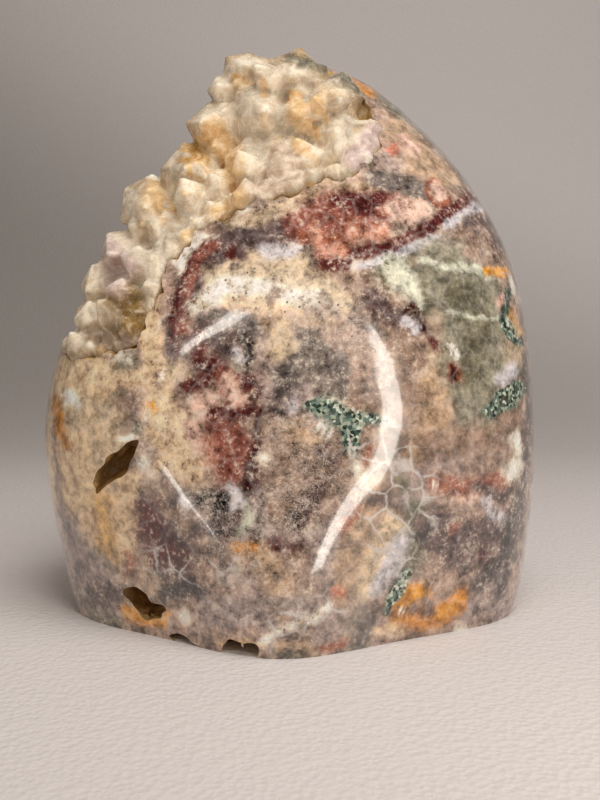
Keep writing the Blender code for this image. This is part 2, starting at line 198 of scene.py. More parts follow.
# The marks from the lowest up, each a colour, the softness of its edge in px and its stroke.
STONE_MARKS = (
    # the left flank: honey and cream quartz, lilac at its foot
    ("cream", 26, (80, 370, 34), (72, 450, 40), (84, 520, 36)),
    ("straw", 14, (62, 405, 20), (100, 420, 20), (110, 455, 16)),
    ("peach", 10, (75, 370, 10), (110, 380, 10), (140, 378, 8)),
    ("chalk", 8, (70, 398, 7), (78, 404, 6)),
    ("amber", 9, (56, 400, 4), (60, 430, 5), (66, 446, 3)),
    ("honey", 14, (100, 500, 9), (106, 540, 9), (118, 560, 5)),
    ("cream", 8, (128, 480, 12), (132, 520, 12), (124, 552, 9)),
    ("lilac", 18, (66, 520, 8), (80, 565, 20), (108, 598, 20)),
    ("mauve", 12, (98, 590, 8), (122, 592, 8)),
    ("rust", 8, (128, 555, 4), (132, 570, 4)),
    # peach froth beside the vug
    ("cream", 10, (152, 270, 9), (148, 320, 11), (158, 372, 12), (160, 400, 14)),
    ("peach", 10, (158, 412, 16), (178, 440, 24), (188, 468, 16)),
    ("blush", 8, (190, 428, 9), (200, 446, 8)),
    ("cream", 5, (152, 432, 7), (168, 450, 8), (160, 466, 6)),
    ("ochre", 4, (150, 405, 4), (157, 409, 3)),
    ("olive", 5, (140, 425, 4), (134, 442, 3)),
    # the shoulder under the brink
    ("mauve", 10, (172, 352, 8), (180, 300, 10), (204, 262, 14), (236, 236, 14), (282, 232, 16)),
    ("straw", 8, (232, 222, 7), (256, 218, 9), (292, 204, 8)),
    ("tan", 10, (300, 196, 8), (330, 188, 7), (372, 190, 6)),
    ("dark brown", 6, (270, 230, 6), (284, 236, 7)),
    ("maroon", 4, (178, 352, 3), (174, 322, 4), (177, 292, 3), (190, 264, 4), (210, 240, 3)),
    ("brick", 6, (182, 330, 5), (183, 308, 4), (200, 254, 6), (216, 246, 5)),
    ("maroon", 5, (232, 252, 6), (240, 256, 5)),
    ("frost", 8, (262, 250, 6), (284, 254, 7), (300, 246, 5)),
    # red grains and the maroon band to the right edge
    ("brick", 12, (296, 224, 14), (328, 212, 20), (368, 214, 22), (392, 200, 8)),
    ("rust", 6, (306, 236, 8), (340, 246, 12), (356, 226, 8)),
    ("maroon", 7, (338, 200, 9), (362, 206, 12), (380, 196, 6)),
    ("salmon", 5, (314, 226, 5), (318, 252, 7), (338, 250, 7)),
    ("salmon", 5, (352, 236, 6), (382, 232, 8)),
    ("maroon", 5, (322, 266, 7), (350, 264, 7)),
    ("smoke", 9, (372, 178, 8), (408, 184, 10), (430, 200, 7)),
    ("tan", 10, (412, 166, 10), (440, 168, 12), (468, 180, 9)),
    ("blush", 5, (392, 208, 8), (412, 212, 10), (424, 208, 6)),
    ("rust", 4, (434, 188, 10), (440, 197, 10)),
    ("blush", 3, (436, 187, 7), (440, 194, 7)),
    ("maroon", 5, (352, 254, 6), (386, 248, 7), (402, 242, 8), (428, 228, 6)),
    ("maroon", 4, (426, 230, 6), (444, 214, 7), (468, 200, 6), (488, 190, 4)),
    ("frost", 4, (356, 266, 4), (380, 262, 4), (410, 248, 5), (436, 236, 4)),
    ("frost", 4, (446, 224, 5), (462, 214, 4), (484, 204, 6)),
    ("mauve", 10, (468, 222, 7), (492, 222, 8), (504, 246, 7)),
    ("coral", 6, (392, 148, 6), (400, 142, 5)),
    ("tan", 14, (396, 128, 12), (420, 150, 12), (446, 170, 12)),
    ("olive", 12, (346, 66, 8), (378, 88, 12), (412, 116, 10)),
    ("blush", 6, (404, 140, 6), (414, 150, 6)),
    ("amber", 12, (356, 82, 5), (372, 92, 6)),
    ("smoke", 10, (420, 118, 10), (452, 152, 9), (482, 196, 6)),
    # sage quartz on the right
    ("sage", 22, (440, 262, 26), (472, 300, 34), (474, 360, 34), (462, 410, 34)),
    ("olive", 14, (458, 292, 16), (482, 330, 18), (470, 372, 14)),
    ("pale sage", 8, (392, 264, 10), (402, 280, 14), (416, 304, 9)),
    ("pale sage", 4, (422, 258, 4), (446, 266, 3), (476, 270, 5), (492, 276, 5)),
    ("pale sage", 4, (446, 312, 2), (474, 318, 2), (500, 320, 2)),
    ("brown", 10, (474, 250, 10), (500, 268, 9)),
    ("ochre", 6, (488, 271, 4), (500, 272, 4)),
    ("blush", 5, (502, 300, 5), (514, 322, 6)),
    ("honey", 4, (508, 312, 4), (518, 334, 4)),
    ("dark green", 3, (508, 288, 3), (504, 322, 3), (520, 344, 3)),
    ("frost", 10, (512, 372, 8), (500, 380, 6)),
    ("green", 4, (490, 410, 5), (504, 402, 9), (518, 388, 7)),
    ("dark green", 3, (491, 412, 4), (497, 398, 3), (514, 396, 4)),
    ("honey", 3, (502, 404, 3), (508, 394, 2)),
    # mauve-brown field with the chain of dark specks
    ("brown", 18, (352, 292, 16), (388, 312, 22), (412, 350, 18), (404, 400, 16)),
    ("mauve", 10, (372, 298, 12), (392, 318, 10)),
    ("tan", 12, (432, 380, 12), (440, 420, 16), (418, 452, 12)),
    ("frost", 4, (406, 320, 6), (416, 328, 5)),
    ("deep maroon", 3, (400, 312, 2), (414, 304, 4), (419, 310, 4)),
    ("deep maroon", 3, (421, 318, 4), (427, 334, 2)),
    ("maroon", 4, (430, 338, 3), (438, 352, 3)),
    ("white", 3, (452, 345, 3), (457, 358, 3)),
    ("rust", 6, (450, 366, 4), (455, 376, 7)),
    ("deep maroon", 3, (449, 364, 2), (455, 378, 4)),
    # the chalky band above the window
    ("straw", 14, (214, 276, 10), (262, 272, 14), (318, 284, 14), (346, 304, 8)),
    ("chalk", 12, (196, 306, 8), (222, 288, 13), (262, 292, 15), (298, 300, 10), (318, 296, 6)),
    ("peach", 10, (228, 300, 6), (252, 304, 8), (300, 312, 6)),
    ("brown", 4, (270, 302, 5), (276, 292, 5)),
    ("tan", 10, (256, 322, 9), (292, 318, 8), (330, 322, 8)),
    # maroon head with its pink eye and the brick below
    ("smoke", 10, (206, 322, 10), (240, 318, 12), (256, 332, 8)),
    ("dark brown", 8, (206, 332, 12), (226, 346, 12), (236, 336, 8)),
    ("maroon", 7, (196, 336, 7), (200, 362, 8), (218, 366, 9)),
    ("soot", 5, (240, 332, 4), (250, 346, 5), (248, 366, 4)),
    ("deep maroon", 4, (198, 366, 6), (210, 374, 5)),
    ("frost", 6, (236, 350, 4), (240, 358, 4)),
    ("maroon", 8, (188, 386, 7), (206, 382, 7), (216, 372, 5), (248, 384, 8)),
    ("blush", 8, (196, 404, 8), (210, 398, 6), (206, 416, 7)),
    ("brick", 5, (224, 376, 10), (238, 402, 11)),
    ("blush", 3, (227, 377, 6), (232, 390, 8), (239, 402, 8)),
    ("deep maroon", 4, (252, 378, 4), (260, 390, 3), (250, 398, 3)),
    ("brick", 10, (222, 424, 16), (232, 448, 22), (230, 470, 16)),
    ("maroon", 8, (212, 412, 6), (240, 412, 7), (258, 412, 5)),
    ("deep maroon", 6, (260, 412, 3), (256, 444, 5), (252, 470, 8), (250, 488, 7)),
    ("salmon", 8, (208, 440, 6), (212, 462, 5)),
    # smoky window and the brown below it
    ("straw", 8, (282, 332, 12), (280, 352, 12), (300, 346, 6)),
    ("smoke", 7, (284, 378, 14), (310, 362, 18), (330, 372, 22), (336, 398, 14)),
    ("dark smoke", 6, (280, 372, 6), (290, 386, 6), (276, 396, 6)),
    ("smoke", 6, (306, 334, 8), (320, 348, 12)),
    ("dark smoke", 3, (264, 408, 3), (300, 411, 3), (312, 408, 2)),
    ("frost", 4, (291, 401, 3), (294, 408, 3)),
    ("brown", 12, (276, 436, 14), (304, 446, 22), (330, 456, 20), (330, 486, 22), (296, 508, 28), (276, 470, 18)),
    ("tan", 8, (292, 430, 10), (316, 440, 9)),
    ("dark brown", 8, (322, 452, 7), (336, 462, 6)),
    ("dark brown", 9, (310, 498, 9), (322, 488, 8), (296, 524, 10)),
    # a small pit drawn as a black spot: painted shade, with no hollow in the mesh
    ("soot", 4, (292, 516, 4), (296, 524, 4)),
    ("maroon", 9, (276, 544, 7), (296, 546, 5)),
    ("chalk", 6, (262, 458, 4), (270, 462, 3)),
    # chlorite
    ("green", 4, (312, 402, 5), (334, 412, 9), (350, 424, 11), (352, 446, 6)),
    ("pale sage", 3, (318, 400, 3), (334, 400, 4), (342, 412, 3)),
    ("white", 3, (325, 426, 4), (328, 433, 3)),
    ("dark green", 3, (340, 410, 2), (347, 428, 4), (360, 418, 5), (382, 421, 4)),
    ("dark green", 3, (344, 450, 3), (354, 440, 3)),
    # dark pocket with frost, and the brown foot
    ("dark brown", 10, (178, 500, 9), (204, 500, 11), (240, 500, 10), (224, 520, 18), (200, 540, 14)),
    ("soot", 6, (198, 500, 5), (206, 492, 5), (224, 500, 6), (216, 512, 5)),
    ("frost", 5, (232, 486, 5), (238, 498, 6), (232, 506, 4)),
    ("pale sage", 5, (246, 506, 3), (250, 520, 4), (240, 530, 4)),
    ("frost", 4, (182, 500, 4), (186, 504, 4)),
    ("brown", 12, (204, 548, 14), (232, 556, 14), (262, 566, 16), (286, 566, 14)),
    ("tan", 10, (238, 550, 8), (258, 548, 8), (282, 588, 12)),
    ("amber", 6, (236, 546, 4), (254, 548, 4)),
    ("mauve", 12, (146, 506, 9), (162, 566, 12), (184, 578, 12)),
    ("dark brown", 8, (148, 520, 6), (172, 530, 8), (196, 556, 6)),
    ("maroon", 7, (148, 532, 7), (166, 542, 8), (150, 560, 6)),
    ("dark smoke", 7, (168, 592, 8), (196, 588, 9), (206, 600, 6)),
    # the next two strokes are painted reflection: dark rims down the right and left edges, the dim room mirrored at
    # grazing angles
    ("dark smoke", 14, (500, 190, 2), (522, 280, 3), (530, 420, 3), (520, 520, 4), (498, 596, 5)),
    ("dark brown", 12, (52, 420, 1), (62, 510, 2), (96, 600, 3)),
    ("lilac", 12, (212, 610, 16), (256, 612, 16), (304, 612, 14)),
    ("brown", 10, (278, 612, 8), (306, 640, 10)),
    ("chalk", 5, (262, 644, 4), (284, 628, 4), (318, 616, 5), (330, 606, 3)),
    ("tan", 8, (280, 646, 6), (310, 648, 7)),
    ("honey", 4, (218, 642, 3), (246, 642, 3), (262, 650, 3)),
    # right of the window down to the foot
    ("tan", 12, (372, 470, 8), (360, 520, 14), (348, 562, 14), (342, 600, 10)),
    ("rust", 6, (366, 462, 4), (372, 448, 4)),
    ("rust", 7, (356, 508, 5), (344, 528, 6)),
    ("mauve", 8, (370, 500, 5), (384, 496, 4), (404, 516, 4)),
    ("straw", 12, (392, 524, 12), (378, 560, 14), (366, 590, 10)),
    ("frost", 12, (402, 540, 8), (390, 566, 10), (376, 590, 7)),
    ("olive", 6, (394, 476, 5), (404, 484, 6)),
    ("coral", 4, (334, 590, 4), (344, 594, 3)),
    ("coral", 4, (338, 644, 4), (330, 650, 3)),
    ("rust", 5, (322, 648, 5), (346, 640, 4)),
    ("smoke", 8, (368, 616, 9), (362, 636, 9)),
    # lower right: red haze in mauve, ochre at the foot
    ("brown", 16, (432, 446, 14), (470, 442, 20), (500, 452, 14)),
    ("rust", 9, (436, 482, 9), (458, 488, 9), (498, 480, 8)),
    ("mauve", 16, (434, 528, 20), (464, 548, 24), (492, 528, 16)),
    ("blush", 5, (456, 494, 4), (468, 500, 4), (476, 492, 4)),
    ("frost", 6, (486, 500, 5), (490, 512, 5), (510, 520, 4)),
    ("white", 2, (433, 482, 2), (436, 486, 2)),
    ("dark smoke", 7, (422, 540, 6), (430, 528, 5)),
    ("dark brown", 6, (474, 482, 4), (500, 500, 5), (512, 488, 4)),
    ("maroon", 7, (484, 556, 6), (494, 564, 5)),
    ("rust", 5, (452, 530, 4), (458, 526, 3)),
    ("dark smoke", 9, (478, 584, 8), (500, 560, 7), (516, 500, 5)),
    ("ochre", 5, (394, 604, 7), (410, 594, 9), (424, 590, 7)),
    ("amber", 5, (402, 620, 10), (432, 616, 10), (456, 604, 10), (462, 592, 7)),
    ("ochre", 4, (440, 614, 6), (456, 602, 6)),
    ("dark brown", 4, (428, 604, 3), (434, 612, 3), (388, 610, 3)),
    ("cream", 4, (376, 630, 4), (398, 630, 5)),
    ("white", 2, (401, 611, 2), (404, 613, 1)),
    ("dark green", 4, (404, 572, 4), (396, 590, 5), (387, 612, 3)),
    ("ochre", 5, (124, 606, 4), (140, 621, 5), (160, 621, 5), (169, 612, 3)),
    # last, over the rest: a fleck in the side vug's rim and maroon at the left foot
    ("chalk", 4, (122, 438, 3), (134, 438, 3)),
    ("maroon", 20, (148, 506, 11), (158, 545, 13), (180, 558, 8)),
)
CRYSTAL_MARKS = (
    ("honey milk", 16, (212, 132, 14), (228, 150, 12), (238, 200, 9), (214, 212, 8)),
    ("deep honey", 18, (122, 296, 20), (140, 328, 18), (110, 340, 12)),
    ("grey milk", 12, (276, 150, 12), (292, 168, 15), (262, 184, 12)),
    ("lilac milk", 16, (104, 250, 16), (126, 268, 12), (112, 288, 8)),
    ("tan", 9, (88, 332, 7), (122, 346, 9), (150, 340, 8)),
    ("amber milk", 8, (196, 148, 5), (206, 156, 5), (182, 160, 4)),
    ("amber milk", 5, (306, 124, 6), (316, 134, 5)),
    ("amber milk", 5, (312, 184, 5), (319, 194, 4)),
    ("lilac milk", 12, (356, 160, 13), (376, 132, 10), (392, 150, 7)),
    ("olive", 14, (290, 58, 6), (334, 70, 7), (366, 92, 7)),
    ("coral", 6, (384, 150, 4), (394, 146, 4)),
)

# Where the polish is dull, where cracks make a white web, where fine fibres lie, where the rock is
# calm with little sparkle or shade, and where chlorite leaves lie.
DULL = (
    ((196, 290, 14), (226, 284, 22), (262, 292, 24), (300, 300, 20), (326, 312, 16)),
    ((330, 300, 14), (352, 322, 18), (356, 360, 16), (366, 392, 8)),
    ((168, 330, 8), (174, 370, 9)),
    ((156, 396, 14), (164, 430, 18), (162, 460, 8)),
    ((228, 232, 10), (268, 228, 12)),
)
WEB = (
    ((352, 440, 10), (376, 470, 18), (384, 510, 26), (392, 552, 22)),
    ((392, 440, 14), (420, 476, 14), (430, 520, 8)),
    ((262, 640, 10), (300, 616, 14), (334, 606, 12)),
    ((160, 560, 12), (190, 572, 12), (228, 566, 8)),
)
FIBRE = (
    ((282, 430, 20), (306, 440, 26), (322, 470, 26), (296, 506, 32), (256, 520, 20), (236, 560, 22)),
    ((300, 330, 26), (330, 320, 24), (366, 344, 14)),
    ((210, 500, 20), (230, 540, 20)),
)
CALM = (
    ((80, 380, 40), (86, 450, 44), (92, 530, 40)),
    ((440, 270, 40), (480, 330, 50), (470, 420, 56), (420, 420, 40), (396, 520, 34), (350, 610, 34)),
    ((400, 130, 26), (440, 175, 20)),
    ((390, 600, 14), (430, 612, 26), (462, 600, 14)),
)
LEAFY = (
    ((312, 402, 6), (334, 412, 10), (350, 424, 12), (352, 446, 8)),
    ((360, 420, 6), (382, 421, 4)),
    ((490, 410, 5), (504, 402, 10), (518, 388, 8)),
    ((404, 572, 4), (396, 590, 6), (387, 612, 3)),
    ((504, 324, 4), (520, 344, 4)),
)
ZONES = {"dull": (DULL, 16), "web": (WEB, 16), "fibre": (FIBRE, 16), "leafy": (LEAFY, 4), "calm": (CALM, 30)}
ZONE_SEED = 91
ZONE_WANDER = 6


def skyline(angle):
    """The outline's radius at an angle: a closed Catmull-Rom curve through the SKYLINE radii."""
    radii = np.array(SKYLINE)
    count = len(radii)
    place = (angle % (2 * math.pi)) / (2 * math.pi) * count
    start = np.floor(place).astype(int)
    share = place - start
    before, here, after, beyond = (radii[(start + k) % count] for k in (-1, 0, 1, 2))
    slope = after - before
    bend = 2 * before - 5 * here + 4 * after - beyond
    twist = 3 * here - before - 3 * after + beyond
    return 0.5 * (2 * here + share * (slope + share * (bend + share * twist)))


def stone_points(unit):
    """Where the points of a unit sphere go on the stone's skin, in millimetres.

    Seen from the front a point keeps its direction from the heart and goes out to a share of the
    skyline: the share is its distance from the Y axis to the power 2 / FACE_SWELL. Its depth is its
    own Y to the power 2 / EDGE_ROUND, times the depth of the front or the back at that height.
    """
    angle = np.arctan2(unit[:, 2], unit[:, 0])
    reach = np.hypot(unit[:, 0], unit[:, 2]) ** (2 / FACE_SWELL) * skyline(angle)
    x = reach * np.cos(angle)
    z = HEART_Z + reach * np.sin(angle)
    depth = np.abs(unit[:, 1]) ** (2 / EDGE_ROUND)
    rise = np.clip(z / TOP_Z, 0, 1) ** 2
    prow = PROW_DEPTH * np.exp(-(((x - PROW_X) / PROW_HALF_WIDTH) ** 2))
    foot = (prow - FOOT_TAPER) * np.exp(-((np.clip(z, 0, None) / FOOT_HEIGHT) ** 2))
    front = FRONT_DEPTH - FRONT_TAPER * rise + foot
    back = BACK_DEPTH - BACK_TAPER * rise
    y = np.where(unit[:, 1] < 0, -front, back) * depth + LEAN_BACK * (z - HEART_Z)
    return np.stack([x, y, z], axis=1)


def skin_front(x, z):
    """The front skin's depth at a place seen from the front."""
    angle = math.atan2(z - HEART_Z, x)
    share = math.hypot(x, z - HEART_Z) / skyline(np.array([angle]))[0]
    share = min(0.999, share) ** (FACE_SWELL / 2)
    unit = np.array([[share * math.cos(angle), -math.sqrt(1 - share**2), share * math.sin(angle)]])
    return stone_points(unit)[0][1]


def bed_y(x, z):
    """How deep the hollow's bed lies."""
    return BED_Y + BED_X * x + BED_Z * z


def flared(spot, factor):
    """A spot seen from the front, moved away from the flare's centre by a factor."""
    centre = Vector(FLARE_CENTRE)
    return centre + (spot - centre) * factor


def brink_line(inset, steps=SOLID_BRINK_STEPS):
    """The hollow's brink as a Catmull-Rom line of (x, z), moved into the hollow by inset."""
    points = [Vector(p) for p in BRINK]
    line = []
    for i in range(1, len(points) - 2):
        before, here, after, beyond = points[i - 1 : i + 3]
        for k in range(steps):
            t = k / steps
            line.append(
                0.5
                * (
                    2 * here
                    + (after - before) * t
                    + (2 * before - 5 * here + 4 * after - beyond) * t**2
                    + (3 * here - before - 3 * after + beyond) * t**3
                )
            )
    line.append(points[-2])
    line = [points[0], *line, points[-1]]
    moved = []
    for i, point in enumerate(line):
        along = line[min(i + 1, len(line) - 1)] - line[max(i - 1, 0)]
        inwards = Vector((-along.y, along.x)).normalized()
        moved.append(point + inwards * inset)
    return moved


def inside_hollow(x, z, margin):
    """Whether a place on the bed, seen from the front, lies margin inside the hollow's walls."""
    line = [flared(p, FLARE_BED) for p in brink_line(margin)]
    corners = [*line, *(Vector(p) for p in HOLLOW_CORNERS)]
    crossings = 0
    for a, b in zip(corners, [*corners[1:], corners[0]]):
        if (a.y > z) != (b.y > z) and x < a.x + (z - a.y) * (b.x - a.x) / (b.y - a.y):
            crossings += 1
    return crossings % 2 == 1


def inside_skyline(x, z, margin):
    """Whether a place seen from the front lies margin inside the stone's outline."""
    angle = np.array([math.atan2(z - HEART_Z, x)])
    return math.hypot(x, z - HEART_Z) < skyline(angle)[0] - margin


def linear(code):
    """An sRGB hex colour as linear RGBA."""
    parts = [int(code[i : i + 2], 16) / 255 for i in (1, 3, 5)]
    return (*((c / 12.92 if c <= 0.04045 else ((c + 0.055) / 1.055) ** 2.4) for c in parts), 1.0)


def cloud(points, size, seed):
    """Smooth noise from -1 to 1 at points.

    Random numbers on a lattice of the given size in millimetres are blended between its corners,
    each axis by the share 3 t^2 - 2 t^3.
    """
    count = 31
    lattice = np.random.default_rng(seed).uniform(-1, 1, (count, count, count))
    place = points / size + 100
    start = np.floor(place).astype(int)
    share = place - start
    share = share * share * (3 - 2 * share)
    total = np.zeros(len(points))
    for corner in np.ndindex(2, 2, 2):
        weight = np.prod(np.where(corner, share, 1 - share), axis=1)
        a, b, c = ((start + corner) % count).T
        total += weight * lattice[a, b, c]
    return total


def clouds(points, size, seed):
    """Three sizes of noise added, each half as coarse and half as strong as the one before."""
    return sum(cloud(points, size / 2**k, seed + k) / 2**k for k in range(3)) / 1.3


def ramp(value, low, high):
    """0 below low, 1 above high and a smooth rise between."""
    share = np.clip((value - low) / (high - low), 0, 1)
    return share * share * (3 - 2 * share)


def lens_eye(settings):
    """The lens's place in millimetres."""
    return np.array([0.0, -settings.distance / MM, settings.eye / MM])


def lens_places(points):
    """Where the photograph's lens sees points, in px from the frame's left and top."""
    settings = bpy.context.scene.freeform_stage
    ahead = np.array([0.0, math.cos(settings.pitch), -math.sin(settings.pitch)])
    up = np.array([0.0, math.sin(settings.pitch), math.cos(settings.pitch)])
    sight = points - lens_eye(settings)
    zoom = settings.lens / SENSOR * FRAME_PX[1] / (sight @ ahead)
    return np.stack([FRAME_PX[0] / 2 + sight[:, 0] * zoom, FRAME_PX[1] / 2 - (sight @ up) * zoom], axis=1)


def ragged_places(points, seed, wander):
    """Where the lens sees points, moved by up to wander px by noise, so a mark's edge is ragged."""
    shift = np.stack([clouds(points, RAGGED, seed), clouds(points, RAGGED, seed + 5)], axis=1)
    return lens_places(points) + wander * shift


def depth_in_stroke(places, stroke):
    """How far places lie inside a stroke in px: the most of all its round-ended, tapering stretches."""
    inside = np.full(len(places), -np.inf)
    for (ax, ay, start), (bx, by, end) in zip(stroke, stroke[1:]):
        along = np.array([bx - ax, by - ay], float)
        off = places - (ax, ay)
        share = np.clip(off @ along / (along @ along), 0, 1)
        gap = np.linalg.norm(off - share[:, None] * along, axis=1)
        inside = np.maximum(inside, start + (end - start) * share - gap)
    return inside


def tone(name):
    """A palette colour as linear RGB."""
    return np.array(linear(PALETTE[name])[:3])


def towards(colour, name, share):
    """A colour moved towards a palette colour by a share for each point."""
    return colour + (tone(name) - colour) * share[:, None]


def ground_colours(points, seed):
    """The colours that run through the whole stone: clouds of one mineral in another."""
    colour = towards(tone("rose"), "lilac", ramp(clouds(points, 16, seed), -0.2, 0.4))
    for name, size, low, high in GROUND_CLOUDS:
        seed += 7
        share = ramp(clouds(points, size, seed), low, high)
        if name in BACK_ONLY:
            share = share * ramp(points[:, 1], -8, 4)
        colour = towards(colour, name, share)
    return colour


def painted(points, normals, marks, ground, seed, wander):
    """A colour for each point: the ground, with the marks laid over what the lens sees."""
    places = ragged_places(points, seed, wander)
    sight = lens_eye(bpy.context.scene.freeform_stage) - points
    facing = np.sum(sight * normals, axis=1) / np.linalg.norm(sight, axis=1)
    seen = ramp(facing, -0.1, 0.12)
    colour = ground
    for name, softness, *stroke in marks:
        colour = towards(colour, name, ramp(depth_in_stroke(places, stroke) / softness, -0.5, 0.5) * seen)
    return colour


def zone(points, strokes, softness):
    """A number from 0 to 1 for each point of the front: how far it lies in any of the strokes."""
    places = ragged_places(points, ZONE_SEED, ZONE_WANDER)
    inside = np.max([depth_in_stroke(places, stroke) for stroke in strokes], axis=0)
    return ramp(inside / softness, -0.5, 0.5) * (points[:, 1] < 0)


def mesh_points(obj):
    """The mesh's points in millimetres, and their normals."""
    mesh = obj.data
    points = np.empty(len(mesh.vertices) * 3, np.float32)
    normals = np.empty(len(mesh.vertices) * 3, np.float32)
    mesh.vertices.foreach_get("co", points)
    mesh.vertex_normals.foreach_get("vector", normals)
    return points.reshape(-1, 3).astype(float) / MM, normals.reshape(-1, 3).astype(float)


def add_attribute(obj, name, values):
    """Keeps a number or a colour for each point on the mesh."""
    values = np.asarray(values, np.float32)
    attributes = obj.data.attributes
    if values.ndim == 2:
        rgba = np.concatenate([values, np.ones((len(values), 1), np.float32)], axis=1)
        attributes.new(name, "FLOAT_COLOR", "POINT").data.foreach_set("color", rgba.ravel())
    else:
        attributes.new(name, "FLOAT", "POINT").data.foreach_set("value", values)


def new_material(name):
    """An empty node material with its node tree and its Principled shader."""
    made = bpy.data.materials.new(name)
    made.use_nodes = True
    tree = made.node_tree
    return made, tree, tree.nodes["Principled BSDF"]


def node(tree, kind, values=None, links=None, **settings):
    """Adds a node: settings are its properties, values its inputs, links its inputs from outputs.

    Inputs go by name or number. A Map Range's inputs 1 to 4 are from low, from high, to low and to
    high. A colour Mix's inputs 0, 6 and 7 are the factor, the lower and the upper colour.
    """
    made = tree.nodes.new(kind)
    for key, value in settings.items():
        setattr(made, key, value)
    for key, value in (values or {}).items():
        made.inputs[key].default_value = value
    for key, output in (links or {}).items():
        tree.links.new(output, made.inputs[key])
    return made


def mesh_object(name, points, faces, materials=()):
    """A smooth mesh object at the origin from points in millimetres."""
    mesh = bpy.data.meshes.new(name)
    mesh.from_pydata((np.asarray(points) * MM).tolist(), [], faces if isinstance(faces, list) else faces.tolist())
    mesh.update()
    mesh.shade_smooth()
    for entry in materials:
        mesh.materials.append(entry)
    made = bpy.data.objects.new(name, mesh)
    bpy.context.scene.collection.objects.link(made)
    return made


def grid_faces(rows, columns, wrap=False):
    """Quads of a grid of rows by columns points, closed round its columns if wrap is set."""
    row = np.arange(rows - 1)[:, None]
    column = np.arange(columns if wrap else columns - 1)[None, :]
    here, after = row * columns + column, row * columns + (column + 1) % columns
    return np.stack([c.ravel() for c in (here, after, after + columns, here + columns)], axis=1)


def finish_modifiers(obj):
    """Applies the object's modifiers."""
    graph = bpy.context.evaluated_depsgraph_get()
    mesh = bpy.data.meshes.new_from_object(obj.evaluated_get(graph))
    obj.modifiers.clear()
    old, obj.data = obj.data, mesh
    bpy.data.meshes.remove(old)


def weld(obj, distance=1e-6):
    """Merges doubles and turns faces outwards."""
    tools = bmesh.new()
    tools.from_mesh(obj.data)
    bmesh.ops.remove_doubles(tools, verts=tools.verts, dist=distance)
    bmesh.ops.recalc_face_normals(tools, faces=tools.faces)
    tools.to_mesh(obj.data)
    tools.free()


def saw_flat(obj):
    """Cuts away what lies below Z = 0 and closes the cut with flat faces."""
    tools = bmesh.new()
    tools.from_mesh(obj.data)
    every = [*tools.verts, *tools.edges, *tools.faces]
    cut = bmesh.ops.bisect_plane(tools, geom=every, plane_co=(0, 0, 0), plane_no=(0, 0, 1), clear_inner=True)
    rim = [e for e in cut["geom_cut"] if isinstance(e, bmesh.types.BMEdge)]
    base = bmesh.ops.contextual_create(tools, geom=rim)["faces"]
    bmesh.ops.triangulate(tools, faces=base)
    bmesh.ops.recalc_face_normals(tools, faces=tools.faces)
    tools.to_mesh(obj.data)
    tools.free()


def one_shell(obj):
    """Deletes the closed crumbs and bubbles that fusing leaves beside the one large shell.

    Each point takes the lowest number found along its edges until none changes, so a shell's
    points end up with one number.
    """
    mesh = obj.data
    ends = np.empty(len(mesh.edges) * 2, np.int32)
    mesh.edges.foreach_get("vertices", ends)
    a, b = ends.reshape(-1, 2).T
    before, shell = None, np.arange(len(mesh.vertices))
    while not np.array_equal(before, shell):
        before, low = shell, np.minimum(shell[a], shell[b])
        shell = before.copy()
        np.minimum.at(shell, a, low)
        np.minimum.at(shell, b, low)
        shell = shell[shell]
    tools = bmesh.new()
    tools.from_mesh(mesh)
    tools.verts.ensure_lookup_table()
    loose = np.flatnonzero(shell != np.bincount(shell).argmax())
    bmesh.ops.delete(tools, geom=[tools.verts[i] for i in loose], context="VERTS")
    tools.to_mesh(mesh)
    tools.free()


def stone_grid(cells):
    """The skin as two square grids, front and back, that share their rim.

    A square's point (u, v) goes to the disc point (u sqrt(1 - v2 / 2), v sqrt(1 - u2 / 2)). Its
    distance r from the middle gives its angle from the front or the back pole, part in proportion
    and part as the arcsine of r^1.2, which spaces the points evenly as seen from the front.
    """
    steps = np.linspace(-1, 1, cells + 1)
    u, v = np.meshgrid(steps, steps, indexing="ij")
    a = u * np.sqrt(1 - v**2 / 2)
    b = v * np.sqrt(1 - u**2 / 2)
    radius = np.maximum(np.hypot(a, b), 1e-9)
    rim = np.minimum(radius, 1.0)
    tilt = 0.4 * rim * math.pi / 2 + 0.6 * np.arcsin(rim**1.2)
    half = np.stack([a / radius * np.sin(tilt), -np.cos(tilt), b / radius * np.sin(tilt)], axis=-1).reshape(-1, 3)
    back = half * np.array([1, -1, 1])
    faces = grid_faces(cells + 1, cells + 1)
    return stone_points(np.concatenate([half, back])), np.concatenate([faces, faces[:, ::-1] + len(half)])


def hollow_cutter(name):
    """The hollow as a solid: the brink's outline, roughened, run from the air back to the bed."""
    line = brink_line(0.0, steps=14)
    rough = []
    for i, p in enumerate(line):
        wave = 0.5 * math.sin(i * 0.31) + 0.3 * math.sin(i * 0.83 + 1.0) + 0.16 * math.sin(i * 1.7 + 2.0)
        along = line[min(i + 1, len(line) - 1)] - line[max(i - 1, 0)]
        rough.append(p + Vector((-along.y, along.x)).normalized() * wave)
    outline = [*rough, *(Vector(p) for p in HOLLOW_CORNERS)]
    air = [flared(p, FLARE_AIR) for p in outline]
    bed = [flared(p, FLARE_BED) for p in outline]
    count = len(outline)
    points = [(p.x, AIR_Y, p.y) for p in air] + [(p.x, bed_y(p.x, p.y), p.y) for p in bed]
    faces = [list(range(count)), list(range(2 * count - 1, count - 1, -1))]
    for i in range(count):
        j = (i + 1) % count
        faces += [[i, count + i, j], [j, count + i, count + j]]
    return mesh_object(name, points, faces)


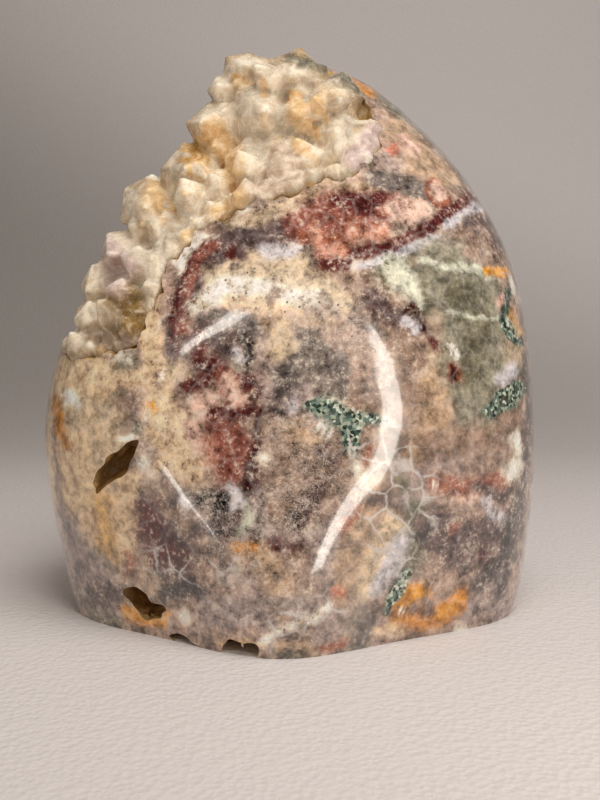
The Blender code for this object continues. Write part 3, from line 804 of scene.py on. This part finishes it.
def ellipsoid(centre, radii, turn, rings=24, segments=36, lump=0.16):
    """A lumpy ellipsoid: radii swell and sink by lump, as a product of sines of its two angles."""
    tilt = np.linspace(0, math.pi, rings + 1)[:, None]
    about = np.linspace(0, 2 * math.pi, segments, endpoint=False)[None, :]
    swell = 1 + lump * np.sin(3 * tilt + 1) * np.sin(4 * about + 2) + 0.5 * lump * np.sin(7 * tilt) * np.cos(6 * about)
    unit = np.stack([np.sin(tilt) * np.cos(about), np.sin(tilt) * np.sin(about), np.cos(tilt) + 0 * about], axis=-1)
    points = (unit * swell[..., None]).reshape(-1, 3) * np.array(radii)
    turned = points @ np.array(Matrix.Rotation(math.radians(turn), 3, "Y")).T
    return turned + np.array(centre), grid_faces(rings + 1, segments, wrap=True)


def bed_crystal(x, z, radius, length, right, up, spin, sunk=0.0):
    """A crystal on the bed: (root, direction, radius, length, spin), leaning right and up by degrees."""
    normal = Vector((BED_X, -1.0, BED_Z)).normalized()
    lean = Matrix.Rotation(math.radians(right), 3, "Z") @ Matrix.Rotation(math.radians(-up), 3, "X")
    return Vector((x, bed_y(x, z) - SEAM - CRUST + ROOT - sunk, z)), lean @ normal, radius, length, spin


def wall_spot(brink, depth):
    """The hollow's wall at a depth behind a place on its brink, seen from the front."""
    share = (depth - AIR_Y) / (bed_y(brink.x, brink.y) - AIR_Y)
    return flared(brink, FLARE_AIR + (FLARE_BED - FLARE_AIR) * share)


def crystal_list():
    """The solids' crystals, drawn as they are there: (root, direction, radius, length, spin) each."""
    chance = np.random.default_rng(SEED)
    made = []
    placed = []
    for i, (x, z, radius, length, right, up) in enumerate(LEAD_CRYSTALS):
        made.append(bed_crystal(x, z, radius, length, right, up, spin=0.9 * i))
        placed.append((x, z, radius))
    rows, columns = (range(*(int(end / FILL_PITCH) for end in ends)) for ends in (FILL_Z, FILL_X))
    for row in rows:
        for column in columns:
            x, z = (np.array([column + 0.5 * (row % 2), row * 0.9]) + chance.uniform(-0.2, 0.2, 2)) * FILL_PITCH
            radius, length = chance.uniform(*FILL_RADIUS), chance.uniform(*FILL_LENGTH)
            right, up = chance.uniform(-FILL_LEAN, FILL_LEAN, 2) + (FILL_RIGHT, FILL_UP)
            spin = chance.uniform(0, 2 * math.pi)
            crowded = any(math.hypot(x - a, z - b) < 0.62 * r + 0.5 * radius for a, b, r in placed)
            clear = inside_hollow(x, z, radius + 0.5) and inside_skyline(x, z, radius * 0.6)
            if clear and not crowded:
                made.append(bed_crystal(x, z, radius, length, right, up, spin))
                placed.append((x, z, radius))
    return made + wall_crystals()


def wall_crystals():
    """The crystals on the hollow's walls, drawn as the solids' are."""
    made = []
    chance = np.random.default_rng(SEED + 1)
    line = brink_line(SEAM + CRUST - ROOT)
    run = 0.0
    for a, b in zip(line, line[1:]):
        run += (b - a).length
        if run < WALL_PITCH:
            continue
        run = 0.0
        across = Vector((-(b - a).y, 0, (b - a).x)).normalized()
        for y in np.arange(bed_y(b.x, b.y) - 5.0, -24.0, -WALL_PITCH):
            radius, length = chance.uniform(*WALL_RADIUS), chance.uniform(*WALL_LENGTH)
            spin = chance.uniform(0, 2 * math.pi)
            depth = y + chance.uniform(-0.8, 0.8)
            spot = wall_spot(b, depth)
            aim = (across + Vector((0, -0.35, 0))).normalized()
            if inside_skyline(spot.x, spot.y, 3.0) and skin_front(spot.x, spot.y) + 2.4 < depth:
                made.append((Vector((spot.x, depth, spot.y)), aim, radius, length, spin))
    return made


def small_crystals(count, seed):
    """Small crystals between the large ones, sunk into the bed by up to 4.5 mm."""
    chance = np.random.default_rng(seed)
    made = []
    while len(made) < count:
        x, z = chance.uniform(-46, 18), chance.uniform(44, 100)
        radius = 1.4 + 1.4 * chance.uniform(0, 1)
        length = radius * chance.uniform(1.5, 2.6) + CRUST - ROOT
        right, up = chance.uniform(-38, 38, 2) + (FILL_RIGHT, FILL_UP)
        spin = chance.uniform(0, 2 * math.pi)
        if inside_hollow(x, z, 1.2) and inside_skyline(x, z, 3.0):
            made.append(bed_crystal(x, z, radius, length, right, up, spin, sunk=chance.uniform(0.5, 4.5)))
    return made


def brink_crystals(seed):
    """Small crystals all over the hollow's walls, from the bed to just under the polish."""
    chance = np.random.default_rng(seed)
    line = brink_line(0.4, steps=7)
    made = []
    for a, b in zip(line, line[1:]):
        across = Vector((-(b - a).y, 0, (b - a).x)).normalized()
        along = Vector(((b - a).x, 0, (b - a).y)).normalized()
        for depth in np.arange(bed_y(b.x, b.y) - 1.0, -34.0, -1.9):
            radius = 1.1 + 1.5 * chance.uniform(0, 1) ** 2
            depth += chance.uniform(-0.7, 0.7)
            spin = chance.uniform(0, 2 * math.pi)
            turn = chance.uniform(-0.5, 0.5, 2)
            spot = wall_spot(b, depth)
            aim = (across + along * turn[0] + Vector((0, -0.6 + turn[1], 0))).normalized()
            if inside_skyline(spot.x, spot.y, 4.0) and skin_front(spot.x, spot.y) + 0.5 * radius < depth:
                root = Vector((spot.x, depth, spot.y)) - aim * 1.2
                made.append((root, aim, radius, 1.2 + radius * chance.uniform(1.0, 1.9), spin))
    return made


def crystal_mesh(crystals, seed):
    """Six-sided prisms with six-sided points, all in one mesh.

    A crystal's corner k stands at 60 k degrees, its radius drawn between 0.86 and 1.1 of the
    crystal's own. Prism and point meet at a shoulder whose height is drawn for each corner, and the
    tip stands off the axis.
    """
    chance = np.random.default_rng(seed)
    count = len(crystals)
    radius, length, spin = (np.array([c[k] for c in crystals])[:, None] for k in (2, 3, 4))
    corner = np.arange(6)[None, :] * math.pi / 3
    wide = radius * chance.uniform(0.86, 1.1, (count, 6))
    shoulder = length - radius * POINT_SHARE * chance.uniform(0.75, 1.15, (count, 6))
    bottom = np.stack([wide * 0.94 * np.cos(corner), wide * 0.94 * np.sin(corner), np.zeros((count, 6))], axis=-1)
    top = np.stack([wide * np.cos(corner), wide * np.sin(corner), shoulder], axis=-1)
    tip = np.concatenate([radius * 0.22 * np.cos(3 * spin), radius * 0.22 * np.sin(2 * spin), length], axis=1)
    local = np.concatenate([bottom, top, tip[:, None], np.zeros((count, 1, 3))], axis=1)
    frames = [aim.to_track_quat("Z", "Y").to_matrix() @ Matrix.Rotation(c, 3, "Z") for _, aim, _, _, c in crystals]
    points = np.einsum("nij,nkj->nki", np.array([np.array(f) for f in frames]), local)
    points = points + np.array([c[0] for c in crystals])[:, None]
    faces = []
    for k in range(6):
        j = (k + 1) % 6
        faces += [[k, j, 6 + j, 6 + k], [6 + k, 6 + j, 12], [j, k, 13]]
    every = [[c + 14 * i for c in face] for i in range(count) for face in faces]
    return mesh_object("points", points.reshape(-1, 3), every)


def crystal_shares(points, crystals, seed):
    """For each point its nearest crystal's own draw from 0 to 1, and how far up that crystal it is."""
    roots, aims, radius, length = (np.array([c[k] for c in crystals]) for k in range(4))
    along = points @ aims.T - np.sum(roots * aims, axis=1)
    square = np.sum(points**2, axis=1)[:, None] - 2 * points @ roots.T + np.sum(roots**2, axis=1)
    away = np.sqrt(np.maximum(square - along**2, 0)) / radius
    nearest = np.argmin(away, axis=1)
    draw = np.random.default_rng(seed).uniform(0, 1, len(crystals))
    return draw[nearest], along[np.arange(len(points)), nearest] / length[nearest]


def bed_blanket():
    """The massive quartz under the crystals, a closed quilt over the hollow's bed.

    On a grid of angle and share of the skyline its front lies QUILT in front of the bed, swelling
    and sinking by QUILT_LUMP times products of sines, and thins towards the skyline as the square
    root of the share that is left. Its back lies just behind the bed.
    """
    angles = np.radians(np.linspace(84, 196, 130))[:, None]
    shares = np.linspace(0.25, 1.0, 60)[None, :]
    reach = skyline(angles) * shares * 0.985
    x = reach * np.cos(angles)
    z = HEART_Z + reach * np.sin(angles)
    lumps = np.sin(x * 0.9) * np.sin(z * 1.1 + 1) + 0.6 * np.sin(x * 2.1 + z * 1.3) * np.sin(z * 2.3 - x)
    rim = np.clip((1 - shares) / 0.08, 0, 1)
    front = bed_y(x, z) - SEAM - (QUILT + QUILT_LUMP * lumps) * rim**0.5
    back = bed_y(x, z) + 0.6
    sheet = np.concatenate([np.stack([x, front, z], axis=-1), np.stack([x, back, z], axis=-1)[:, ::-1]], axis=1)
    rows, columns = sheet.shape[:2]
    faces = grid_faces(rows, columns, wrap=True).tolist()
    faces += [list(range(columns)), list(range(rows * columns - 1, (rows - 1) * columns - 1, -1))]
    made = mesh_object("quartz_druse", sheet.reshape(-1, 3), faces)
    weld(made)
    return made


def join_into(obj, other):
    """Adds the other object's mesh to the object's own, and removes the other."""
    tools = bmesh.new()
    for piece in (obj, other):
        tools.from_mesh(piece.data)
    tools.to_mesh(obj.data)
    tools.free()
    bpy.data.objects.remove(other)


class FreeformStone(bpy.types.PropertyGroup):
    """What a user would change on the polished stone."""

    cells: IntProperty(name="Cells", description="Cells along each side of the skin's grids", default=236, min=40)
    gloss: FloatProperty(
        name="Polish roughness", description="Roughness of the polished skin", default=0.1, min=0, max=1
    )


class FreeformStage(bpy.types.PropertyGroup):
    """What a user would change on the stage."""

    distance: FloatProperty(
        name="Camera distance", description="From the lens to the stone's middle", default=0.180, unit="LENGTH"
    )
    eye: FloatProperty(
        name="Camera height", description="Height of the lens over the floor", default=0.058, unit="LENGTH"
    )
    pitch: FloatProperty(
        name="Camera pitch", description="How far the camera looks down", default=math.radians(7), subtype="ANGLE"
    )
    lens: FloatProperty(name="Lens", description="Focal length in millimetres", default=45.0)
    floor_colour: FloatVectorProperty(
        name="Floor", description="Colour of the floor", subtype="COLOR", size=4, default=linear("#D3CBC6")
    )


def per_mm(size):
    """The scale that makes a pattern's cell the given size in millimetres."""
    return 1 / (size * MM)


def fill_ramp(colours, stops):
    """Gives a colour ramp its stops, each a place and a hex colour."""
    for k, (spot, code) in enumerate(stops):
        entry = colours.elements[k] if k < 2 else colours.elements.new(spot)
        entry.position = spot
        entry.color = linear(code)


def hair_lines(tree, place, size, width, bend, strength):
    """Thin wavy lines, where a noise passes through its middle value: strength on the line, 0 off it."""
    values = {"Scale": per_mm(size), "Detail": 3.0, "Roughness": 0.6, "Distortion": bend}
    wave = node(tree, "ShaderNodeTexNoise", values, {"Vector": place}).outputs["Fac"]
    off = node(tree, "ShaderNodeMath", {1: 0.5}, {0: wave}, operation="SUBTRACT").outputs[0]
    gap = node(tree, "ShaderNodeMath", links={0: off}, operation="ABSOLUTE").outputs[0]
    return node(tree, "ShaderNodeMapRange", {1: 0.0, 2: width, 3: strength, 4: 0.0}, {0: gap}).outputs[0]


def stone_material(settings):
    """Quartz and amethyst, sawn and tumbled to a polish: deep milky colour under a wet-looking skin.

    Two paintings of the same marks are mingled grain by grain, then veils, hairs, cracks and the
    painted shade of pits are laid over them.
    """
    made, tree, shader = new_material("polished amethyst quartz")
    place = node(tree, "ShaderNodeTexCoord").outputs["Object"]
    reads = {
        name: node(tree, "ShaderNodeAttribute", attribute_name=name, attribute_type="GEOMETRY").outputs
        for name in ("paint", "second paint", *ZONES)
    }
    dull, web, fibre, leafy, calm = (reads[name]["Fac"] for name in ZONES)

    # the mingled grains, the veils of lighter and darker quartz, and a frosty grain
    patterns = ((GRAIN, 6.0, 0.72, 0.0), (VEIL, 9.0, 0.74, 0.15), (FROST, 6.0, 0.8, 0.0))
    grains, veil, frost = (
        node(
            tree,
            "ShaderNodeTexNoise",
            {"Scale": per_mm(size), "Detail": detail, "Roughness": rough, "Distortion": bend},
            {"Vector": place},
        ).outputs["Fac"]
        for size, detail, rough, bend in patterns
    )
    mingle = node(tree, "ShaderNodeMapRange", {1: 0.44, 2: 0.56, 3: 0.0, 4: 1.0}, {0: grains}).outputs[0]
    links = {0: mingle, 6: reads["paint"]["Color"], 7: reads["second paint"]["Color"]}
    colour = node(tree, "ShaderNodeMix", None, links, data_type="RGBA").outputs[2]
    colour = node(tree, "ShaderNodeGamma", {"Gamma": 1.2}, {"Color": colour}).outputs[0]
    light = node(tree, "ShaderNodeMapRange", {1: 0.38, 2: 0.62, 3: 0.31, 4: 0.98}, {0: veil}).outputs[0]
    links = {6: colour, 7: light}
    colour = node(tree, "ShaderNodeMix", {0: 1.0}, links, data_type="RGBA", blend_type="OVERLAY").outputs[2]

    # pale sparkle where veil and frost add up, brown shade where both are low, less where it is calm
    still = node(tree, "ShaderNodeMapRange", {1: 0.0, 2: 1.0, 3: 1.0, 4: 0.3}, {0: calm}).outputs[0]
    drift = node(tree, "ShaderNodeMath", {1: 0.8}, {0: veil, 2: frost}, operation="MULTIPLY_ADD").outputs[0]
    for low, high, code, way in ((0.94, 1.09, "#E0CEBA", "MIX"), (0.86, 0.7, "#6E5048", "MULTIPLY")):
        share = node(tree, "ShaderNodeMapRange", {1: low, 2: high, 3: 0.0, 4: 0.85}, {0: drift}).outputs[0]
        share = node(tree, "ShaderNodeMath", None, {0: share, 1: still}, operation="MULTIPLY").outputs[0]
        links = {0: share, 6: colour}
        colour = node(tree, "ShaderNodeMix", {7: linear(code)}, links, data_type="RGBA", blend_type=way).outputs[2]

    # chlorite: leaves, each of its own green
    values = {"Scale": per_mm(LEAF), "Randomness": 1.0}
    leaves = node(tree, "ShaderNodeTexVoronoi", values, {"Vector": place}).outputs["Color"]
    greens = node(tree, "ShaderNodeValToRGB", None, {"Fac": leaves})
    greens.color_ramp.interpolation = "CONSTANT"
    fill_ramp(greens.color_ramp, LEAF_STOPS)
    leaf = node(tree, "ShaderNodeMapRange", {1: 0.35, 2: 0.65, 3: 0.0, 4: 0.9}, {0: leafy}).outputs[0]
    links = {0: leaf, 6: colour, 7: greens.outputs["Color"]}
    colour = node(tree, "ShaderNodeMix", None, links, data_type="RGBA").outputs[2]

    # hair-fine fibres, drawn wider than the real ones so that they show
    layers = []
    for size, width, bend, strength in ((2.2, 0.012, 0.5, 0.75), (1.3, 0.02, 1.2, 0.6)):
        lines = hair_lines(tree, place, size, width, bend, strength)
        layers.append((lines, fibre, "#D8CCBE"))

    # a web of healed cracks between cells of bent edges, stronger in the web zone and in veils
    values = {"Scale": per_mm(CRACK_BEND), "Detail": 4.0}
    bent = node(tree, "ShaderNodeTexNoise", values, {"Vector": place}).outputs["Color"]
    nudge = node(tree, "ShaderNodeVectorMath", {1: (2 * MM,) * 3}, {0: bent}, operation="MULTIPLY").outputs[0]
    moved = node(tree, "ShaderNodeVectorMath", None, {0: place, 1: nudge}, operation="ADD").outputs[0]
    values = {"Scale": per_mm(CRACK_CELL)}
    crack = node(tree, "ShaderNodeTexVoronoi", values, {"Vector": moved}, feature="DISTANCE_TO_EDGE").outputs
    thin = node(tree, "ShaderNodeMapRange", {1: 0.0, 2: 0.075, 3: 0.95, 4: 0.0}, {0: crack["Distance"]}).outputs[0]
    patchy = node(tree, "ShaderNodeMapRange", {1: 0.36, 2: 0.56, 3: 0.3, 4: 1.0}, {0: veil}).outputs[0]
    everywhere = node(tree, "ShaderNodeMath", {1: 0.22}, {0: web}, operation="ADD").outputs[0]
    patches = node(tree, "ShaderNodeMath", None, {0: patchy, 1: everywhere}, operation="MULTIPLY").outputs[0]
    layers.append((thin, patches, "#CFC6BF"))

    # pits where the polish is dull: some of the cells have one in their middle, a dot of painted shade
    # with no hollow in the mesh
    cells = node(tree, "ShaderNodeTexVoronoi", {"Scale": per_mm(PIT_CELL)}, {"Vector": place}).outputs
    pit = node(tree, "ShaderNodeMapRange", {1: 0.2, 2: 0.12, 3: 0.0, 4: 1.0}, {0: cells["Distance"]}).outputs[0]
    chosen = node(tree, "ShaderNodeMath", {1: 0.62}, {0: cells["Color"]}, operation="GREATER_THAN").outputs[0]
    pit_shade = node(tree, "ShaderNodeMath", None, {0: pit, 1: chosen}, operation="MULTIPLY").outputs[0]
    layers.append((pit_shade, dull, "#57473F"))

    for pattern, where, code in layers:
        share = node(tree, "ShaderNodeMath", None, {0: pattern, 1: where}, operation="MULTIPLY").outputs[0]
        links = {0: share, 6: colour}
        colour = node(tree, "ShaderNodeMix", {7: linear(code)}, links, data_type="RGBA").outputs[2]

    rough = node(tree, "ShaderNodeMapRange", {1: 0.0, 2: 1.0, 3: settings.gloss, 4: 0.42}, {0: dull}).outputs[0]
    uneven = node(tree, "ShaderNodeMapRange", {1: 0.5, 2: 0.75, 3: 0.0, 4: 0.12}, {0: grains}).outputs[0]
    rough = node(tree, "ShaderNodeMath", None, {0: rough, 1: uneven}, operation="ADD").outputs[0]
    bump = node(tree, "ShaderNodeBump", {"Strength": 0.2, "Distance": 0.03 * MM}, {"Height": frost}).outputs[0]
    polish = node(tree, "ShaderNodeMapRange", {1: 0.1, 2: 0.8, 3: 1.0, 4: 0.1}, {0: dull}).outputs[0]
    set_quartz(tree, shader, colour, rough, bump, glow_reach=(1.0, 0.75, 0.6), glow_size=0.9, glow=0.25)
    tree.links.new(polish, shader.inputs["Coat Weight"])
    shader.inputs["Coat Roughness"].default_value = 0.03
    return made


def set_quartz(tree, shader, colour, rough, bump, glow_reach, glow_size, glow):
    """Sets quartz on a shader: what its nodes give, quartz's IOR, and the light that seeps through.

    Light seeps by glow_size millimetres, times glow_reach for red, green and blue.
    """
    for name, output in (("Base Color", colour), ("Roughness", rough), ("Normal", bump)):
        tree.links.new(output, shader.inputs[name])
    shader.inputs["IOR"].default_value = QUARTZ_IOR
    shader.inputs["Subsurface Weight"].default_value = glow
    shader.inputs["Subsurface Radius"].default_value = glow_reach
    shader.inputs["Subsurface Scale"].default_value = glow_size * MM


def wall_material():
    """The broken inside of the hollow and the vugs: granular quartz stained by iron, dull and rough."""
    made, tree, shader = new_material("broken iron-stained quartz")
    place = node(tree, "ShaderNodeTexCoord").outputs["Object"]
    values = {"Scale": per_mm(STAIN), "Detail": 6.0, "Roughness": 0.7}
    stain = node(tree, "ShaderNodeTexNoise", values, {"Vector": place}).outputs["Fac"]
    colours = node(tree, "ShaderNodeValToRGB", None, {"Fac": stain})
    fill_ramp(colours.color_ramp, STAIN_STOPS)
    lumps = node(tree, "ShaderNodeTexVoronoi", {"Scale": per_mm(GRAIN)}, {"Vector": place}).outputs["Distance"]
    bump = node(tree, "ShaderNodeBump", {"Strength": 0.8, "Distance": 0.3 * MM}, {"Height": lumps}).outputs[0]
    tree.links.new(colours.outputs["Color"], shader.inputs["Base Color"])
    tree.links.new(bump, shader.inputs["Normal"])
    shader.inputs["Roughness"].default_value = 0.45
    return made


def crystal_material():
    """Milky quartz grown in the open: glassy faces over a cloudy, honey-stained body."""
    made, tree, shader = new_material("milky quartz crystal")
    place = node(tree, "ShaderNodeTexCoord").outputs["Object"]
    paint = node(tree, "ShaderNodeAttribute", attribute_name="paint", attribute_type="GEOMETRY").outputs["Color"]
    values = {"Scale": per_mm(CLOUD), "Detail": 8.0, "Roughness": 0.72, "Distortion": 0.8}
    veil = node(tree, "ShaderNodeTexNoise", values, {"Vector": place}).outputs["Fac"]
    light = node(tree, "ShaderNodeMapRange", {1: 0.36, 2: 0.64, 3: 0.86, 4: 1.14}, {0: veil}).outputs[0]
    links = {6: paint, 7: light}
    colour = node(tree, "ShaderNodeMix", {0: 1.0}, links, data_type="RGBA", blend_type="MULTIPLY").outputs[2]
    milk = node(tree, "ShaderNodeMapRange", {1: 0.5, 2: 0.7, 3: 0.0, 4: 0.6}, {0: veil}).outputs[0]
    links = {0: milk, 6: colour}
    colour = node(tree, "ShaderNodeMix", {7: linear("#E9E1D4")}, links, data_type="RGBA").outputs[2]
    clear = node(tree, "ShaderNodeMapRange", {1: 0.35, 2: 0.6, 3: 0.3, 4: 0.0}, {0: veil}).outputs[0]
    values = {"Scale": per_mm(ETCHING), "Detail": 4.0, "Roughness": 0.7}
    fine = node(tree, "ShaderNodeTexNoise", values, {"Vector": place}).outputs["Fac"]
    rough = node(tree, "ShaderNodeMapRange", {1: 0.35, 2: 0.7, 3: 0.12, 4: 0.36}, {0: fine}).outputs[0]
    bump = node(tree, "ShaderNodeBump", {"Strength": 0.3, "Distance": 0.05 * MM}, {"Height": fine}).outputs[0]
    set_quartz(tree, shader, colour, rough, bump, glow_reach=(1.0, 0.9, 0.8), glow_size=2.2, glow=0.85)
    tree.links.new(clear, shader.inputs["Transmission Weight"])
    return made


class FREEFORM_OT_stone(bpy.types.Operator):
    """Makes the polished stone with its hollow, vugs and sawn base"""

    bl_idname = "freeform.stone"
    bl_label = "Polished stone"

    def execute(self, context):
        settings = context.scene.freeform_stone
        materials = [stone_material(settings), wall_material()]
        points, faces = stone_grid(settings.cells)
        stone = mesh_object("stone_skin", points, faces, materials)
        weld(stone)
        saw_flat(stone)
        cutters = [hollow_cutter("hollow")]
        cutters += [mesh_object(name, *ellipsoid(*shape)) for name, shape in VUGS.items()]
        for cutter in cutters:
            weld(cutter)
            for material in materials:
                cutter.data.materials.append(material)
            cutter.data.polygons.foreach_set("material_index", np.full(len(cutter.data.polygons), 1, np.int32))
            cut = stone.modifiers.new(cutter.name, "BOOLEAN")
            cut.operation = "DIFFERENCE"
            cut.solver = "EXACT"
            cut.object = cutter
        finish_modifiers(stone)
        for cutter in cutters:
            bpy.data.objects.remove(cutter)
        stone.data.shade_smooth()
        stone.data.set_sharp_from_angle(angle=math.radians(35))
        points, normals = mesh_points(stone)
        for name, seed in (("paint", 31), ("second paint", 61)):
            ground = ground_colours(points, seed=5)
            add_attribute(stone, name, painted(points, normals, STONE_MARKS, ground, seed, wander=5))
        for name, (strokes, softness) in ZONES.items():
            add_attribute(stone, name, zone(points, strokes, softness))
        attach(stone, "root")
        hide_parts("polished_stone")
        return {"FINISHED"}


class FREEFORM_OT_crystals(bpy.types.Operator):
    """Makes the hollow's quartz: the massive bed and the crystals on it"""

    bl_idname = "freeform.crystals"
    bl_label = "Crystals"

    def execute(self, context):
        large = [(root, aim, SWELL * radius, length, spin) for root, aim, radius, length, spin in crystal_list()]
        crystals = large + small_crystals(count=14, seed=11) + brink_crystals(seed=12)
        druse = bed_blanket()
        join_into(druse, crystal_mesh(crystals, seed=3))
        fuse = druse.modifiers.new("fuse", "REMESH")
        fuse.mode = "VOXEL"
        fuse.voxel_size = VOXEL * MM
        melt = druse.modifiers.new("melt", "SMOOTH")
        melt.factor = 0.5
        melt.iterations = 5
        finish_modifiers(druse)
        one_shell(druse)
        druse.data.shade_smooth()
        druse.data.materials.append(crystal_material())
        points, normals = mesh_points(druse)
        draw, up = crystal_shares(points, crystals, seed=29)
        milky = ramp(clouds(points, size=12, seed=71) + 1.1 * (draw - 0.5), -0.1, 0.6)
        ground = towards(tone("milk"), "honey milk", milky)
        # painted shade: the crystals darker towards their roots, down among their neighbours
        ground = towards(ground, "painted root shade", 0.75 * (1 - ramp(up, 0.35, 0.8)))
        add_attribute(druse, "paint", painted(points, normals, CRYSTAL_MARKS, ground, seed=41, wander=6))
        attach(druse, "root")
        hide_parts("crystal_crust")
        return {"FINISHED"}


class FREEFORM_OT_stage(bpy.types.Operator):
    """Sets the floor, the lights and the camera"""

    bl_idname = "freeform.stage"
    bl_label = "Stage"

    def execute(self, context):
        settings = context.scene.freeform_stage
        add_floor(settings)
        add_lights(context)
        add_camera(context, settings)
        return {"FINISHED"}


def add_floor(settings):
    """A sheet that runs along the floor and sweeps up behind, its profile carried along X."""
    made, tree, shader = new_material("pale leather-grain sheet")
    shader.inputs["Roughness"].default_value = 0.6
    place = node(tree, "ShaderNodeTexCoord").outputs["Object"]
    values = {"Scale": per_mm(SHEET_GRAIN)}
    grain = node(tree, "ShaderNodeTexVoronoi", values, {"Vector": place}, feature="F1").outputs["Distance"]
    bump = node(tree, "ShaderNodeBump", {"Strength": 0.6, "Distance": 0.3 * MM}, {"Height": grain}).outputs[0]
    # painted shade: darker to the back, where the sheet sweeps up, and towards the lower left
    axes = node(tree, "ShaderNodeSeparateXYZ", None, {0: place}).outputs
    values = {1: 0.02, 2: 0.26, 3: 0.0, 4: 0.8}
    back_shade = node(tree, "ShaderNodeMapRange", values, {0: axes["Y"]}, interpolation_type="SMOOTHSTEP").outputs[0]
    links = {0: axes["X"], 2: axes["Z"]}
    slope = node(tree, "ShaderNodeMath", {1: 0.45}, links, operation="MULTIPLY_ADD").outputs[0]
    values = {1: 0.0, 2: 0.18, 3: 1.0, 4: 0.0}
    low_left_shade = node(tree, "ShaderNodeMapRange", values, {0: slope}, interpolation_type="SMOOTHSTEP").outputs[0]
    share = node(tree, "ShaderNodeMath", None, {0: back_shade, 1: low_left_shade}, operation="MULTIPLY").outputs[0]
    values = {6: settings.floor_colour, 7: linear("#8E8780")}
    colour = node(tree, "ShaderNodeMix", values, {0: share}, data_type="RGBA").outputs[2]
    tree.links.new(colour, shader.inputs["Base Color"])
    tree.links.new(bump, shader.inputs["Normal"])
    turn = np.linspace(0, math.pi / 2, 24)[1:]
    y = np.concatenate([[SHEET_FRONT, SWEEP_Y], SWEEP_Y + SWEEP * np.sin(turn), [SWEEP_Y + SWEEP]])
    z = np.concatenate([[0, 0], SWEEP * (1 - np.cos(turn)), [SHEET_TOP]])
    across, y = np.meshgrid(np.linspace(-SHEET_HALF_WIDTH, SHEET_HALF_WIDTH, 5), y)
    points = np.stack([across, y, np.broadcast_to(z[:, None], y.shape)], axis=-1)
    floor = mesh_object("floor", points.reshape(-1, 3), grid_faces(*y.shape), [made])


def add_lights(context):
    """A ring lamp about the lens, a soft lamp overhead and a dim warm room.

    The ring is a flat band of two ellipses, whose half-width swells and sinks as a cosine.
    """
    glow, _, shader = new_material("lit diffuser ring")
    shader.inputs["Base Color"].default_value = (0, 0, 0, 1)
    shader.inputs["Emission Color"].default_value = linear("#FFF8EE")
    shader.inputs["Emission Strength"].default_value = 8.0
    turn = np.linspace(0, 2 * math.pi, 96, endpoint=False)[None, :]
    half = (RING_BAND + RING_SWELL * np.cos(turn - 0.3)) * np.array([-1.0, 1.0])[:, None]
    x, z = (RING_WIDE + half) * np.cos(turn), (RING_HIGH + half) * np.sin(turn)
    points = np.stack([x, np.zeros_like(x), z], axis=-1) + RING_MIDDLE
    ring = mesh_object("ring lamp", points.reshape(-1, 3), grid_faces(2, 96, wrap=True), [glow])
    ring.visible_camera = False

    lamp = bpy.data.lights.new("soft overhead", "AREA")
    lamp.size = 300 * MM
    lamp.energy = 1.75
    lamp.color = linear("#FBFAFA")[:3]
    soft = bpy.data.objects.new("soft overhead", lamp)
    soft.location = Vector(LAMP_PLACE) * MM
    soft.rotation_euler = (Vector(LAMP_TARGET) - Vector(LAMP_PLACE)).to_track_quat("-Z", "Y").to_euler()
    soft.visible_glossy = False
    context.scene.collection.objects.link(soft)

    # the room is dimmer in the polish than it lights the stone
    world = bpy.data.worlds.new("room")
    world.use_nodes = True
    tree = world.node_tree
    back = tree.nodes["Background"]
    back.inputs["Color"].default_value = linear("#C9C2BB")
    mirrored = node(tree, "ShaderNodeLightPath").outputs["Is Glossy Ray"]
    strength = node(tree, "ShaderNodeMapRange", {1: 0.0, 2: 1.0, 3: 0.37, 4: 0.1}, {0: mirrored}).outputs[0]
    tree.links.new(strength, back.inputs["Strength"])
    context.scene.world = world


def add_camera(context, settings):
    """The camera at the photograph's viewing angle."""
    lens = bpy.data.cameras.new("camera")
    lens.lens = settings.lens
    lens.sensor_width = SENSOR
    lens.clip_start = 0.005
    made = bpy.data.objects.new("camera", lens)
    made.location = (0, -settings.distance, settings.eye)
    made.rotation_euler = (math.pi / 2 - settings.pitch, 0, 0)
    context.scene.collection.objects.link(made)
    context.scene.camera = made
    context.scene.view_settings.view_transform = "Standard"


class FREEFORM_PT_panel(bpy.types.Panel):
    """Lists the freeform's pieces and their settings"""

    bl_idname = "FREEFORM_PT_panel"
    bl_label = "Freeform"
    bl_space_type = "VIEW_3D"
    bl_region_type = "UI"
    bl_category = "Freeform"

    def draw(self, context):
        for group in (context.scene.freeform_stone, context.scene.freeform_stage):
            for name in group.__annotations__:
                self.layout.prop(group, name)
        for operator in OPERATORS:
            self.layout.operator(operator.bl_idname)


GROUPS = {"freeform_stone": FreeformStone, "freeform_stage": FreeformStage}
OPERATORS = (FREEFORM_OT_stone, FREEFORM_OT_crystals, FREEFORM_OT_stage)
CLASSES = (*GROUPS.values(), *OPERATORS, FREEFORM_PT_panel)


def register():
    for entry in CLASSES:
        bpy.utils.register_class(entry)
    for name, group in GROUPS.items():
        setattr(bpy.types.Scene, name, PointerProperty(type=group))


def unregister():
    for name in GROUPS:
        delattr(bpy.types.Scene, name)
    for entry in reversed(CLASSES):
        bpy.utils.unregister_class(entry)


def main():
    register()
    bpy.ops.freeform.stone()
    bpy.ops.freeform.crystals()
    bpy.ops.freeform.stage()


if __name__ == "__main__":
    main()
